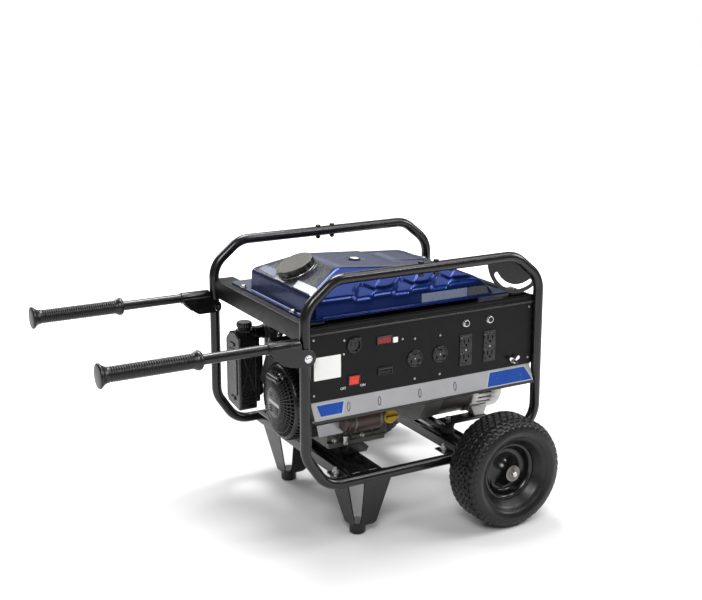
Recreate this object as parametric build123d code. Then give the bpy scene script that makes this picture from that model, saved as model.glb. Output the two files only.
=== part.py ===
from build123d import *
from math import atan2, cos, degrees, radians, sin
import os

# Portable open-frame generator on a two-wheel kit with fold-down handles.
# Working coordinates: X runs along the machine from the recoil end (x = 0 at the left hoop posts)
# to the wheel end, Y across it (the control panel faces -Y), Z up from the bottom rail centre line.
# Everything is moved once, at the end, so that the origin is the bottom centre of the whole object.

# ---- driving dimensions (mm) ----
TUBE_R = 12.7                    # one inch frame tube
TUBE_WALL = 1.6
POST_SPAN = 648.0                # hoop post to hoop post, centre lines
FRAME_WIDTH = 508.0              # hoop plane to hoop plane
HOOP_HEIGHT = 486.0              # bottom rail to top rail, centre lines
LOWER_CUT = (54.0, 80.0)         # corner cut of the hoop at the bottom: along X, along Z
UPPER_CUT = (74.0, 61.0)         # and at the top
BEND_R = 68.0
GROUND_Z = -155.0

WHEEL_R = 135.8
TYRE_WIDTH = 104.0
RIM_R = 70.0
RIM_EDGE = 26.0                  # half width of the rim over its flanges
WHEEL_Y = 336.0                  # middle plane of each wheel
AXLE_R = 6.35
AXLE_X = 499.5
AXLE_Z = GROUND_Z + WHEEL_R

HANDLE_Z = 350.0
PIVOT_Z = 318.0
HANDLE_REACH = 473.0             # from the posts to the end of the grip
GRIP_LENGTH = 215.0
HANDLE_TUBE_R = 10.0
GRIP_FLANGE_R = 27.0             # stop flange at the end of the grip
PIVOT_R = 5.0

BEAM_TOP = 391.0                 # top of the beams that carry the tank
BEAM_DEPTH = 47.0
SHEET = 2.5                      # beam, bracket and panel sheet

TANK_X = (30.0, 540.0)           # tank body at the seam
TANK_Y = (-234.0, 176.0)
TANK_SEAM = BEAM_TOP + 4.0
TANK_WALL_TOP = 432.0
TANK_DECK = ((129.0, 492.0), (412.0, 469.0))   # deck line in X, Z
TANK_EAVE = 447.0                # top of the left wall, where the filler slope starts
FILLER_TILT = degrees(atan2(TANK_DECK[0][1] - TANK_EAVE, TANK_DECK[0][0] - TANK_X[0]))
FILLER_AT = (80.0, -62.0)        # filler neck centre in X, Y
NECK_R = 36.0

PANEL_Y = -250.0                 # outer face of the control panel
PANEL_X = (14.0, 634.0)
PANEL_Z = (205.0, 368.0)
PANEL_DEPTH = 48.0
APRON_DROP = 44.0
APRON_LEAN = 18.0

CRANK_Y = -50.0
CRANK_Z = 146.0
SHAFT_R = 12.5
STATOR_R = 108.0
RUN_GAP = 0.06                   # radial gap of a running fit

HALF_WIDTH = FRAME_WIDTH / 2
ORIGIN_SHIFT = ((HANDLE_REACH - POST_SPAN - TUBE_R) / 2, 0.0, -GROUND_Z)


# ---- helpers ----
def block(x, y, z):
    """Box from three (low, high) pairs."""
    size = [high - low for low, high in (x, y, z)]
    return Pos(x[0], y[0], z[0]) * Box(*size, align=(Align.MIN, Align.MIN, Align.MIN))


def rod(radius, start, end):
    """Round bar from one point to another."""
    line = Vector(*end) - Vector(*start)
    return Solid.make_cylinder(radius, line.length, Plane(origin=start, z_dir=line))


def turned(profile, origin, axis):
    """Closed (radius, height) profile revolved about a line through origin."""
    face = make_face(Polyline(*profile, close=True))
    return Plane(origin=origin, z_dir=axis) * revolve(Plane.XZ * face, axis=Axis.Z)


def plate_xz(outline, y0, y1):
    """Flat plate: (x, z) outline, from y0 to y1."""
    face = outline if isinstance(outline, (Face, Sketch)) else make_face(Polyline(*outline, close=True))
    solid = extrude(Plane.XZ * face, amount=y1 - y0)      # grows towards -Y
    return Pos(0, y1, 0) * solid


def plate_yz(outline, x0, x1):
    """Flat plate: (y, z) outline, from x0 to x1."""
    face = outline if isinstance(outline, (Face, Sketch)) else make_face(Polyline(*outline, close=True))
    return Pos(x0, 0, 0) * extrude(Plane.YZ * face, amount=x1 - x0)


def save(name, *pieces):
    """Write one node, moved to the object's own origin."""
    solids = [solid for piece in pieces for solid in piece.solids()]
    node = Compound(children=[Pos(*ORIGIN_SHIFT) * solid for solid in solids])
    export_step(node, f"parts/{name}.step")
    print(f"{name:22s} {len(solids):3d} solids {node.volume / 1000:9.1f} cm3")


def either_side(make):
    """The same piece on the front and on the back, mirrored in Y."""
    front = make()
    return front, front.mirror(Plane.XZ)


# ---- tube frame ----
def hoop_corners():
    """Corner points of the hoop centre line in X, Z."""
    (lx, lz), (ux, uz) = LOWER_CUT, UPPER_CUT
    right, top = POST_SPAN, HOOP_HEIGHT
    return [(lx, 0), (right - lx, 0), (right, lz), (right, top - uz),
            (right - ux, top), (ux, top), (0, top - uz), (0, lz)]


RAIL_BOLT_X = (POST_SPAN / 2 - 21, POST_SPAN / 2 + 21)
RAIL_BOLT_R = 4.0


def hoop_tube(radius):
    """Solid tube of the given radius along the hoop, in the plane Y = 0."""
    path = Plane.XZ * FilletPolyline(*hoop_corners(), radius=BEND_R, close=True)
    section = Plane(origin=path @ 0, z_dir=path % 0) * Circle(radius)
    return sweep(section, path=path)


def hoop(y):
    """Bent tube hoop with the bores for the handle pivot and the top rail bolts."""
    tube = hoop_tube(TUBE_R) - hoop_tube(TUBE_R - TUBE_WALL)
    tube -= rod(PIVOT_R + 0.1, (0, -TUBE_R - 1, PIVOT_Z), (0, TUBE_R + 1, PIVOT_Z))
    for x in RAIL_BOLT_X:
        tube -= rod(RAIL_BOLT_R + 0.2, (x, 0, HOOP_HEIGHT - 20), (x, 0, HOOP_HEIGHT + 20))
    return Pos(0, y, 0) * tube


def post_tubes():
    """The four straight posts as solid bars, used to cope what is welded to them."""
    return [rod(TUBE_R, (x, y, 60), (x, y, 440)) for x in (0, POST_SPAN) for y in (-HALF_WIDTH, HALF_WIDTH)]


TANK_BOLT_X = (22.5, POST_SPAN - 45.0)
TANK_BOLT_Y = (-150.0, 120.0)


def top_beam(at_left):
    """Pressed channel between two posts; its wide top flange carries the tank."""
    top, low = BEAM_TOP, BEAM_TOP - BEAM_DEPTH
    profile = [(-4, low), (12, low), (12, low + SHEET), (-1.5, low + SHEET), (-1.5, top - SHEET),
               (52, top - SHEET), (52, top), (-4, top)]
    if not at_left:
        profile = [(POST_SPAN - x, z) for x, z in profile]
    beam = plate_xz(profile, -HALF_WIDTH + 2, HALF_WIDTH - 2)
    flange_x = TANK_BOLT_X[0] if at_left else TANK_BOLT_X[1]
    for y in TANK_BOLT_Y:
        beam -= rod(4.2, (flange_x, y, top - 6), (flange_x, y, top + 1))
    beam -= rod(5.0, (-6 if at_left else POST_SPAN + 6, -30, top - 12),
                (4 if at_left else POST_SPAN - 4, -30, top - 12))
    for post in post_tubes():
        beam -= post
    return beam


BASE_BEAMS = ((112.0, 207.0), (436.0, 503.0))     # X extents of the two base beams
BASE_TOP = 13.0
BASE_LOW = -13.0


def base_beam(x0, x1):
    """Wide pressed channel between the bottom rails, with two stiffening beads along its top."""
    w = x1 - x0
    bead, depth = 9.0, 5.0
    outer = [(x0, BASE_LOW), (x0, BASE_TOP)]
    for centre in (x0 + 0.27 * w, x0 + 0.73 * w):
        outer += [(centre - bead, BASE_TOP), (centre - bead / 2, BASE_TOP - depth),
                  (centre + bead / 2, BASE_TOP - depth), (centre + bead, BASE_TOP)]
    outer += [(x1, BASE_TOP), (x1, BASE_LOW), (x1 - SHEET, BASE_LOW), (x1 - SHEET, BASE_TOP - SHEET)]
    for centre in (x0 + 0.73 * w, x0 + 0.27 * w):
        outer += [(centre + bead, BASE_TOP - SHEET), (centre + bead / 2, BASE_TOP - depth - SHEET),
                  (centre - bead / 2, BASE_TOP - depth - SHEET), (centre - bead, BASE_TOP - SHEET)]
    outer += [(x0 + SHEET, BASE_TOP - SHEET), (x0 + SHEET, BASE_LOW)]
    beam = plate_xz(outer, -HALF_WIDTH + 2, HALF_WIDTH - 2)
    for y in (-HALF_WIDTH, HALF_WIDTH):
        beam -= Pos(0, y, 0) * hoop_tube(TUBE_R)
    arch = [(-165, BASE_LOW - 4), (-125, 3), (35, 3), (75, BASE_LOW - 4)]
    beam -= plate_yz(arch, x0 - 1, x1 + 1)
    beam -= rod(AXLE_R + 1, (AXLE_X, -HALF_WIDTH, AXLE_Z), (AXLE_X, HALF_WIDTH, AXLE_Z))
    return beam - stud_holes(BASE_LOW - 1, BASE_TOP + 1)


GUSSET_AT = (585.0, 484.0)
GUSSET_R = 92.0
GUSSET_SLOT = (76.0, 13.0)       # mean radius and width of the crescent slot


def corner_gusset():
    """Round plate in the upper corner of the front hoop, with a crescent slot near its rim."""
    cx, cz = GUSSET_AT
    corner = make_face(Polyline((cx - 120, cz + 2), (POST_SPAN - UPPER_CUT[0], HOOP_HEIGHT),
                                (POST_SPAN, HOOP_HEIGHT - UPPER_CUT[1]), (POST_SPAN, 380),
                                (cx - 120, 380), close=True))
    disc = Pos(cx, cz) * Circle(GUSSET_R)
    radius, width = GUSSET_SLOT
    slot = Pos(cx, cz) * SlotArc(CenterArc((0, 0), radius, 210, 88), width)
    plate = plate_xz(Sketch() + disc - slot & corner, -HALF_WIDTH - 1.5, -HALF_WIDTH + 1.5)
    plate -= Pos(0, -HALF_WIDTH, 0) * hoop_tube(TUBE_R)
    return max(plate.solids(), key=lambda solid: solid.volume)


LEG_CORNERS = ((140.0, -230.0), (140.0, 138.0))  # X, Y of each leg's outside corner
CUP_R = 20.0
CUP_INSET = 20.0
LEG_SHEET = 3.0


def leg(x, y):
    """Pressed corner leg: two tapered sides that meet in a round cup for the rubber foot."""
    top, cup_top, cup_low = BASE_LOW, -124.0, GROUND_Z + 4
    side_a = [(8, cup_low + 18), (3, cup_top + 6), (34, -36), (34, top), (138, top), (132, -34),
              (56, cup_top), (48, cup_low + 18)]
    side_b = [(12, cup_low + 18), (20, cup_top + 6), (27, -36), (27, top), (104, top), (101, -26),
              (61, cup_top - 4), (52, cup_low + 18)]
    a = plate_yz([(y + py, z) for py, z in side_a], x, x + LEG_SHEET)
    b = plate_xz([(x + px, z) for px, z in side_b], y, y + LEG_SHEET)
    cap = block((x, x + 34), (y, y + 138), (top - LEG_SHEET, top))
    cap += block((BASE_BEAMS[0][0], x + 104), (y, y + 34), (top - LEG_SHEET, top))
    cx, cy = x + CUP_INSET, y + CUP_INSET
    cup = rod(CUP_R, (cx, cy, cup_low), (cx, cy, cup_low + 26))
    cup -= rod(CUP_R - LEG_SHEET, (cx, cy, cup_low - 1), (cx, cy, cup_low + 23))
    return a + b + cap + cup


def leg_pad(x, y):
    """Rubber foot pressed up into the cup, standing 4 mm proud of it."""
    cx, cy = x + CUP_INSET, y + CUP_INSET
    profile = [(0, 0), (15, 0), (CUP_R - LEG_SHEET, 2), (CUP_R - LEG_SHEET, 27), (0, 27)]
    return turned(profile, (cx, cy, GROUND_Z), (0, 0, 1))


def axle_bracket():
    """Strap under a bottom rail that holds the axle."""
    y0, y1 = -HALF_WIDTH - 14, -HALF_WIDTH + 14
    outline = Pos(AXLE_X, AXLE_Z) * Circle(AXLE_R + 7)
    web = BASE_LOW - AXLE_Z
    outline += Pos(AXLE_X, AXLE_Z + web / 2) * Rectangle(2 * AXLE_R + 14, web)
    strap = plate_xz(outline, y0, y1) - rod(AXLE_R + 0.02, (AXLE_X, y0 - 1, AXLE_Z), (AXLE_X, y1 + 1, AXLE_Z))
    return strap - block((440, 570), (y0 - 1, y1 + 1), (BASE_LOW - 0.2, 20))


AXLE_END = WHEEL_Y + 42.0


def axle():
    """Straight axle with a cross hole for the cotter pin at each end."""
    bar = rod(AXLE_R, (AXLE_X, -AXLE_END, AXLE_Z), (AXLE_X, AXLE_END, AXLE_Z))
    bar = chamfer(bar.edges().filter_by(GeomType.CIRCLE), 1.2)
    for y in (-AXLE_END + 7, AXLE_END - 7):
        bar -= rod(2.0, (AXLE_X, y, AXLE_Z - 20), (AXLE_X, y, AXLE_Z + 20))
    return bar


# ---- wheels ----
HUB_HALF = 31.0


def wheel_rim(side):
    """Rim placed on the axle; the dished face looks outwards."""
    r, t, edge = RIM_R, 2.5, RIM_EDGE
    bore, hub = AXLE_R + RUN_GAP, AXLE_R + 7.0
    barrel = [(r, edge), (r, edge - t), (r - 6, edge - 5), (r - 10, 12), (r - 15, 8), (r - 15, -8), (r - 10, -12),
              (r - 6, -edge + 5), (r, -edge + t), (r, -edge), (r - 9, -edge), (r - 13, -12), (r - 18, -8),
              (r - 18, 8), (r - 13, 12), (r - 9, edge)]
    disc = [(r - 17, -6), (r - 17, -2), (r - 24, 3), (30, 8), (22, 18), (hub, 22), (hub, HUB_HALF),
            (bore, HUB_HALF), (bore, -HUB_HALF), (hub, -HUB_HALF), (hub, 18), (19, 15), (27, 4), (r - 25, -2)]
    origin, axis = (AXLE_X, side * WHEEL_Y, AXLE_Z), (0, side, 0)
    return turned(barrel, origin, axis) + turned(disc, origin, axis)


def tyre(side):
    """Pneumatic tyre: bead, bulged sidewalls, shoulders and a slightly crowned tread."""
    half = TYRE_WIDTH / 2
    bead_r, seat = RIM_R - 6.0, RIM_EDGE - 6.0
    profile = [(bead_r, -seat), (RIM_R + 0.5, -seat - 3), (RIM_R + 1, -seat - 8), (RIM_R + 10, -half + 6),
               (RIM_R + 28, -half),
               (WHEEL_R - 18, -half + 1), (WHEEL_R - 7, -half + 8), (WHEEL_R - 2, -half + 20), (WHEEL_R, -12),
               (WHEEL_R, 12), (WHEEL_R - 2, half - 20), (WHEEL_R - 7, half - 8), (WHEEL_R - 18, half - 1),
               (RIM_R + 28, half), (RIM_R + 10, half - 6), (RIM_R + 1, seat + 8), (RIM_R + 0.5, seat + 3),
               (bead_r, seat),
               (bead_r + 3, seat - 6), (RIM_R + 8, half - 14), (RIM_R + 28, half - 9), (WHEEL_R - 20, half - 9),
               (WHEEL_R - 9, half - 20), (WHEEL_R - 8, -half + 20), (WHEEL_R - 20, -half + 9),
               (RIM_R + 28, -half + 9), (RIM_R + 8, -half + 14), (bead_r + 3, -seat + 6)]
    return turned(profile, (AXLE_X, side * WHEEL_Y, AXLE_Z), (0, side, 0))


def wheel_retainer(side):
    """Washer against the hub and a split pin through the axle."""
    hub_end = side * (WHEEL_Y + HUB_HALF + 0.4)
    washer = rod(14.5, (AXLE_X, hub_end, AXLE_Z), (AXLE_X, hub_end + side * 2.2, AXLE_Z))
    washer -= rod(AXLE_R, (AXLE_X, hub_end - side, AXLE_Z), (AXLE_X, hub_end + side * 4, AXLE_Z))
    y = side * (AXLE_END - 7)
    pin = rod(1.9, (AXLE_X, y, AXLE_Z - 14), (AXLE_X, y, AXLE_Z + 14))
    eye = Pos(AXLE_X, y, AXLE_Z + 17) * Rot(90, 0, 0) * Torus(4.0, 1.9)
    return washer, pin + eye


# ---- handles ----
BRACKET_END = -93.0
CHEEK = (13.2, 16.2)             # each bracket cheek, measured from the hoop plane


def handle(side):
    """Handle tube in a welded sleeve whose two cheeks straddle the hoop post."""
    y = side * HALF_WIDTH
    fin = make_face(Polyline((BRACKET_END, HANDLE_Z + 12), (BRACKET_END, HANDLE_Z - 4), (-76, 324), (-60, 310),
                             (-42, 304), (0, 299), (0, 338), (-13.2, 340), (-13.2, HANDLE_Z + 12), close=True))
    fin += Pos(0, PIVOT_Z) * Circle(19.5)
    near, far = CHEEK
    inner = fin & (Pos(-100, PIVOT_Z + 40) * Rectangle(200, 105))
    inner += Pos(0, PIVOT_Z) * Circle(12.5)
    outward, inward = (y + near, y + far), (y - far, y - near)
    if side < 0:
        outward, inward = inward, outward
    part = plate_xz(fin, *outward) + plate_xz(inner, *inward)
    part += rod(14.2, (BRACKET_END, y, HANDLE_Z), (-17, y, HANDLE_Z))
    part += block((-17, -13.2), (y - near - 1, y + near + 1), (HANDLE_Z - 14, HANDLE_Z + 12))
    part += rod(HANDLE_TUBE_R, (-HANDLE_REACH + 4, y, HANDLE_Z), (BRACKET_END + 1, y, HANDLE_Z))
    part -= rod(HANDLE_TUBE_R - 1.6, (-HANDLE_REACH + 1, y, HANDLE_Z), (-20, y, HANDLE_Z))
    part -= rod(PIVOT_R + RUN_GAP, (0, y - far - 1, PIVOT_Z), (0, y + far + 1, PIVOT_Z))
    return part


def grip(side):
    """Ribbed rubber grip with a collar at each end, closed over the end of the tube."""
    y = side * HALF_WIDTH
    low, high = 16.0, 17.2
    length = GRIP_LENGTH
    profile = [(0, 0), (25, 0), (GRIP_FLANGE_R, 2), (GRIP_FLANGE_R, 6), (24, 9), (high + 1, 18), (high, 22)]
    ribs, start, stop = 14, 24.0, length - 20.0
    pitch = (stop - start) / ribs
    for i in range(ribs):
        h = start + i * pitch
        profile += [(high, h), (low, h + 0.3 * pitch), (low, h + 0.6 * pitch), (high, h + 0.9 * pitch)]
    profile += [(high, length - 12), (18.5, length - 8), (18.5, length - 4), (15, length),
                (HANDLE_TUBE_R, length), (HANDLE_TUBE_R, 4), (0, 4)]
    return turned(profile, (-HANDLE_REACH, y, HANDLE_Z), (1, 0, 0))


# ---- fuel tank ----
def tank_form(inset):
    """Body of the tank above the seam: a box cut by the slopes of the pressing, all walls moved in by inset."""
    (x0, x1), (y0, y1) = TANK_X, TANK_Y
    body = block((x0 + inset, x1 - inset), (y0 + inset, y1 - inset), (TANK_SEAM, 520 - inset))
    (dx0, dz0), (dx1, dz1) = TANK_DECK
    wall = TANK_WALL_TOP
    # each slope: a point on it and its outward normal
    slopes = [((dx0, 0, dz0), (dz0 - dz1, 0, dx1 - dx0)),              # deck
              ((x0, 0, TANK_EAVE), (TANK_EAVE - dz0, 0, dx0 - x0)),                # filler slope on the left
              ((dx1, 0, dz1), (dz1 - 437, 0, 490 - dx1)),              # right shoulder
              ((490, 0, 437), (437 - TANK_SEAM, 0, x1 - 490)),         # right end
              ((0, y0, wall), (0, -60, 62)),                           # front slope
              ((dx0, 12, dz0), (10, 62, 164)),                         # back slope
              ((x0, 90, 440), (-86, 60, 0)),                           # back left corner
              ((x0, 90, TANK_EAVE), (-2544, 4383, 13194))]                   # facet above that corner
    for point, normal in slopes:
        out = Vector(*normal).normalized()
        cut = Plane(origin=Vector(*point) - out * inset, z_dir=out)
        body = split(body, bisect_by=cut, keep=Keep.BOTTOM)
    return body


CHANNEL_X = (157.0, 263.0, 367.0)    # where the three channels of the front slope meet its front edge
CHANNEL_R = 70.0
CHANNEL_DEPTH = 5.0
TANK_SKIN = 3.0


def channels(radius):
    """Shallow round-bottomed channels that run slantwise down the front slope."""
    lean, rise = 1.28, 60 / 62
    out = Vector(0, -60, 62).normalized() * (CHANNEL_R - CHANNEL_DEPTH)
    bars = []
    for x in CHANNEL_X:
        foot = Vector(x, TANK_Y[0], TANK_WALL_TOP) + out
        way = Vector(lean, 1, rise)
        bars.append(rod(radius, tuple(foot - way * 14), tuple(foot + way * 42)))
    return bars


def tank_top():
    """Upper pressing: hollow, with channels down the front slope, the filler hole and a seam flange."""
    shell = tank_form(0)
    shell = fillet(shell.edges().filter_by(lambda edge: edge.center().Z > TANK_SEAM + 4), 9)
    shell -= channels(CHANNEL_R)
    shell -= tank_form(TANK_SKIN) - channels(CHANNEL_R + TANK_SKIN)
    (x0, x1), (y0, y1) = TANK_X, TANK_Y
    flange = block((x0 - 14, x1 + 72), (y0 - 8, y1 + 14), (TANK_SEAM - 2, TANK_SEAM))
    flange = fillet(flange.edges().filter_by(Axis.Z), 20)
    flange -= block((x0 + 5, x1 - 5), (y0 + 5, y1 - 5), (TANK_SEAM - 3, TANK_SEAM + 1))
    shell += flange
    return shell - filler_bore(NECK_R) - tank_bolt_holes() - gauge_bore()


def tank_bottom():
    """Lower pressing: a hollow tray under the seam, with the outlet hole for the fuel tap."""
    (x0, x1), (y0, y1) = TANK_X, TANK_Y
    depth = 42.0
    tray = block((x0 + 34, x1 - 12), (y0 + 44, y1 - 12), (TANK_SEAM - 4 - depth, TANK_SEAM - 4))
    tray = fillet(tray.edges().filter_by(Axis.Z), 25)
    inner = block((x0 + 37, x1 - 15), (y0 + 47, y1 - 15), (TANK_SEAM - 1 - depth, TANK_SEAM + 1))
    inner = fillet(inner.edges().filter_by(Axis.Z), 22)
    flange = block((x0 - 14, x1 + 72), (y0 - 8, y1 + 14), (TANK_SEAM - 4, TANK_SEAM - 2))
    flange = fillet(flange.edges().filter_by(Axis.Z), 20)
    tray = tray + flange - inner
    return tray - tank_bolt_holes() - rod(TAP_R, (*TAP_AT, 300), (*TAP_AT, TANK_SEAM - 10))


def tank_bolt_places():
    """X, Y of the four bolts that clamp the seam flange to the beams."""
    return [(x, y) for x in TANK_BOLT_X for y in TANK_BOLT_Y]


def tank_bolt_holes():
    """The four bolt holes through the seam."""
    holes = [rod(4.2, (x, y, TANK_SEAM - 8), (x, y, TANK_SEAM + 4)) for x, y in tank_bolt_places()]
    return holes[0] + holes[1:]


def filler_plane(lift):
    """Plane on the filler slope, square to the neck, raised by lift along the neck axis."""
    x, y = FILLER_AT
    (dx0, dz0) = TANK_DECK[0]
    z = TANK_EAVE + (x - TANK_X[0]) * (dz0 - TANK_EAVE) / (dx0 - TANK_X[0])
    axis = Vector(-sin(radians(FILLER_TILT)), 0, cos(radians(FILLER_TILT)))
    return Plane(origin=Vector(x, y, z) + axis * lift, x_dir=(cos(radians(FILLER_TILT)), 0, sin(radians(FILLER_TILT))),
                 z_dir=axis)


def filler_bore(radius):
    """Bore through the tank skin on the neck axis."""
    return filler_plane(-16) * Cylinder(radius, 32, align=(Align.CENTER, Align.CENTER, Align.MIN))


def on_filler(profile):
    """Revolved profile on the neck axis, heights measured from the filler slope."""
    face = make_face(Polyline(*profile, close=True))
    return filler_plane(0) * revolve(Plane.XZ * face, axis=Axis.Z)


def filler_neck():
    """Spun steel neck: a collar seated on the slope, and the rolled mouth inside the cap."""
    r = NECK_R
    return on_filler([(r, -12), (r, 0), (r + 7, 0), (r + 7, 3), (r, 4), (r, 14), (r - 4, 14), (r - 4, -12)])


CAP_R = 47.0


def fuel_cap():
    """Screw cap: flat knurled top over a skirt that runs on the neck."""
    r = NECK_R
    cap = on_filler([(0, 15), (0, 25), (CAP_R - 6, 25), (CAP_R, 21), (CAP_R, 9), (CAP_R - 3, 7), (r + RUN_GAP, 7),
                     (r + RUN_GAP, 15)])
    for i in range(18):
        flute = Rot(0, 0, i * 20) * Pos(CAP_R + 1.2, 0, 5) * Cylinder(3.2, 13, align=(Align.CENTER, Align.CENTER,
                                                                                      Align.MIN))
        cap -= filler_plane(0) * flute
    return cap


GAUGE_AT = (222.0, -84.0)
GAUGE_R = 15.0


def deck_height(x):
    """Height of the deck above a given X."""
    (dx0, dz0), (dx1, dz1) = TANK_DECK
    return dz0 + (x - dx0) * (dz1 - dz0) / (dx1 - dx0)


def gauge_bore():
    """Hole in the deck for the fuel gauge."""
    x, y = GAUGE_AT
    return rod(GAUGE_R - 3, (x, y, deck_height(x) - 12), (x, y, deck_height(x) + 12))


def fuel_gauge():
    """Float gauge: a domed lens in a flanged body."""
    x, y = GAUGE_AT
    profile = [(0, -14), (GAUGE_R - 3, -14), (GAUGE_R - 3, 1.4), (GAUGE_R, 1.4), (GAUGE_R, 4), (GAUGE_R - 3, 6),
               (0, 7.5)]
    return turned(profile, (x, y, deck_height(x)), (0, 0, 1))


# ---- fuel supply ----
TAP_AT = (150.0, 60.0)
TAP_R = 8.0
TAP_LOW = 322.0


def fuel_tap():
    """Tap under the tank: threaded stub, body with a side spigot, and the lever boss."""
    x, y = TAP_AT
    low = TANK_SEAM - 4 - 42
    tap = rod(TAP_R, (x, y, TAP_LOW), (x, y, low + 8)) + rod(11, (x, y, low - 6), (x, y, low))
    tap += block((x - 9, x + 9), (y - 9, y + 9), (TAP_LOW - 2, TAP_LOW + 16))
    tap += rod(4, (x - 9, y, TAP_LOW + 5), (x - 24, y, TAP_LOW + 5))
    tap += rod(3, (x, y + 9, TAP_LOW + 7), (x, y + 15, TAP_LOW + 7))
    return tap


def fuel_lever():
    """Quarter-turn lever on the tap's boss."""
    x, y = TAP_AT
    y0 = y + 9.5
    outline = Pos(x, TAP_LOW + 7) * Circle(7) + Pos(x + 12, TAP_LOW + 7) * Rectangle(24, 7)
    lever = plate_xz(outline, y0, y0 + 4)
    return lever - rod(3 + RUN_GAP, (x, y0 - 1, TAP_LOW + 7), (x, y0 + 6, TAP_LOW + 7))


CARB_AT = (112.0, 118.0, 262.0)


def fuel_hose():
    """Rubber hose from the tap's spigot to the carburettor inlet."""
    x, y = TAP_AT
    cx, cy, cz = CARB_AT
    path = FilletPolyline((x - 14, y, TAP_LOW + 5), (cx - 4, y, TAP_LOW + 5), (cx - 4, cy - 34, cz + 4),
                          (cx - 4, cy - 20, cz + 4), radius=9)
    skin = sweep(Plane(origin=path @ 0, z_dir=path % 0) * Circle(5.5), path=path)
    return skin - sweep(Plane(origin=path @ 0, z_dir=path % 0) * Circle(4.0), path=path)


# ---- control panel ----
OUTLET_Z = 269.0
TWIST_LOCK_X = (291.0, 362.0)
TWIST_LOCK_R = 20.0
DUPLEX_X = (436.0, 506.0)
DUPLEX_SIZE = (35.0, 78.0)
DC_AT = (127.0, 326.0)
DC_R = 18.5
METER_AT = (208.0, 326.0)
METER_SIZE = (40.0, 19.0)
RED_ROCKER = (127.0, 243.0, 31.0, 25.0)          # X, Z, width, height
BLACK_ROCKER = (210.0, 253.0, 38.0, 18.0)
BUTTON_AT = ((436.0, 335.0), (506.0, 335.0))
BUTTON_R = 6.0
ROCKER_PIVOT = 1.0               # rocker axis behind the panel face
ROCKER_TILT = 10.0
STUD_AT = (577.0, 221.0)
STUD_R = 3.0


def panel_box():
    """Folded sheet housing, open at the back, with cut-outs for everything mounted in it."""
    (x0, x1), (z0, z1) = PANEL_X, PANEL_Z
    y0, y1 = PANEL_Y, PANEL_Y + PANEL_DEPTH
    box = block((x0, x1), (y0, y1), (z0, z1)) - block((x0 + 2, x1 - 2), (y0 + 2, y1 + 1), (z0 + 2, z1 - 2))
    box += block((x0, x1), (y0 - 3, y0 + 0.5), (z1 - 2.5, z1 + 1))
    holes = [block((x - w / 2, x + w / 2), (y0 - 5, y0 + 5), (z - h / 2, z + h / 2))
             for x, z, w, h in (RED_ROCKER, BLACK_ROCKER, (*METER_AT, *METER_SIZE),
                                *[(x, OUTLET_Z, *DUPLEX_SIZE) for x in DUPLEX_X])]
    holes += [rod(r, (x, y0 - 5, z), (x, y0 + 5, z))
              for x, z, r in ([(x, OUTLET_Z, TWIST_LOCK_R) for x in TWIST_LOCK_X]
                              + [(*DC_AT, DC_R), (*STUD_AT, STUD_R)]
                              + [(*place, BUTTON_R + 2) for place in BUTTON_AT])]
    return box - holes


def panel_apron():
    """Sloping skirt under the panel that ends in a narrow folded lip."""
    z0, y0 = PANEL_Z[0], PANEL_Y
    low, lean = z0 - APRON_DROP, y0 - APRON_LEAN
    profile = [(y0, z0), (lean, low + 6), (lean, low), (lean + 14, low), (lean + 14, low + 2), (lean + 2, low + 2),
               (lean + 2, low + 6.5), (y0 + 3, z0 - 2.2), (y0 + PANEL_DEPTH - 4, z0 - 2.2), (y0 + PANEL_DEPTH - 4, z0)]
    return plate_yz(profile, PANEL_X[0] + 3, PANEL_X[1] - 4)


def twist_lock(x):
    """Round locking outlet: a body behind the panel and three curved slots in its face."""
    y0 = PANEL_Y - 1.5
    body = rod(TWIST_LOCK_R, (x, y0, OUTLET_Z), (x, y0 + 30, OUTLET_Z))
    slots = Sketch()
    for start in (75, 195, 315):
        slots += SlotArc(CenterArc((0, 0), 11.5, start, 30), 3)
    body -= Pos(0, y0 + 7, 0) * extrude(Plane.XZ * (Pos(x, OUTLET_Z) * slots), amount=12)
    return body


def dc_socket():
    """Recessed round socket with its rim."""
    x, z = DC_AT
    y0 = PANEL_Y - 5
    body = rod(DC_R, (x, y0, z), (x, PANEL_Y + 28, z)) - rod(DC_R - 5, (x, y0 - 1, z), (x, y0 + 14, z))
    return body + rod(5, (x, y0 + 3, z), (x, y0 + 16, z))


def duplex(x):
    """Flush double outlet: two faces with slots and a round earth hole each."""
    w, h = DUPLEX_SIZE
    y0 = PANEL_Y - 2
    body = block((x - w / 2, x + w / 2), (y0, y0 + 28), (OUTLET_Z - h / 2, OUTLET_Z + h / 2))
    cuts = []
    for z in (OUTLET_Z - 20, OUTLET_Z + 20):
        cuts += [block((x + dx - 1.2, x + dx + 1.2), (y0 - 1, y0 + 9), (z - 1, z + 8)) for dx in (-6.5, 6.5)]
        cuts.append(rod(2.6, (x, y0 - 1, z - 8), (x, y0 + 9, z - 8)))
    return body - cuts


def hour_meter():
    """Rectangular display in its bezel."""
    (x, z), (w, h) = METER_AT, METER_SIZE
    y0 = PANEL_Y - 3
    body = block((x - w / 2, x + w / 2), (y0, y0 + 22), (z - h / 2, z + h / 2))
    return body - block((x - w / 2 + 2.5, x + w / 2 - 2.5), (y0 - 1, y0 + 1.2), (z - h / 2 + 2.5, z + h / 2 - 2.5))


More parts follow.
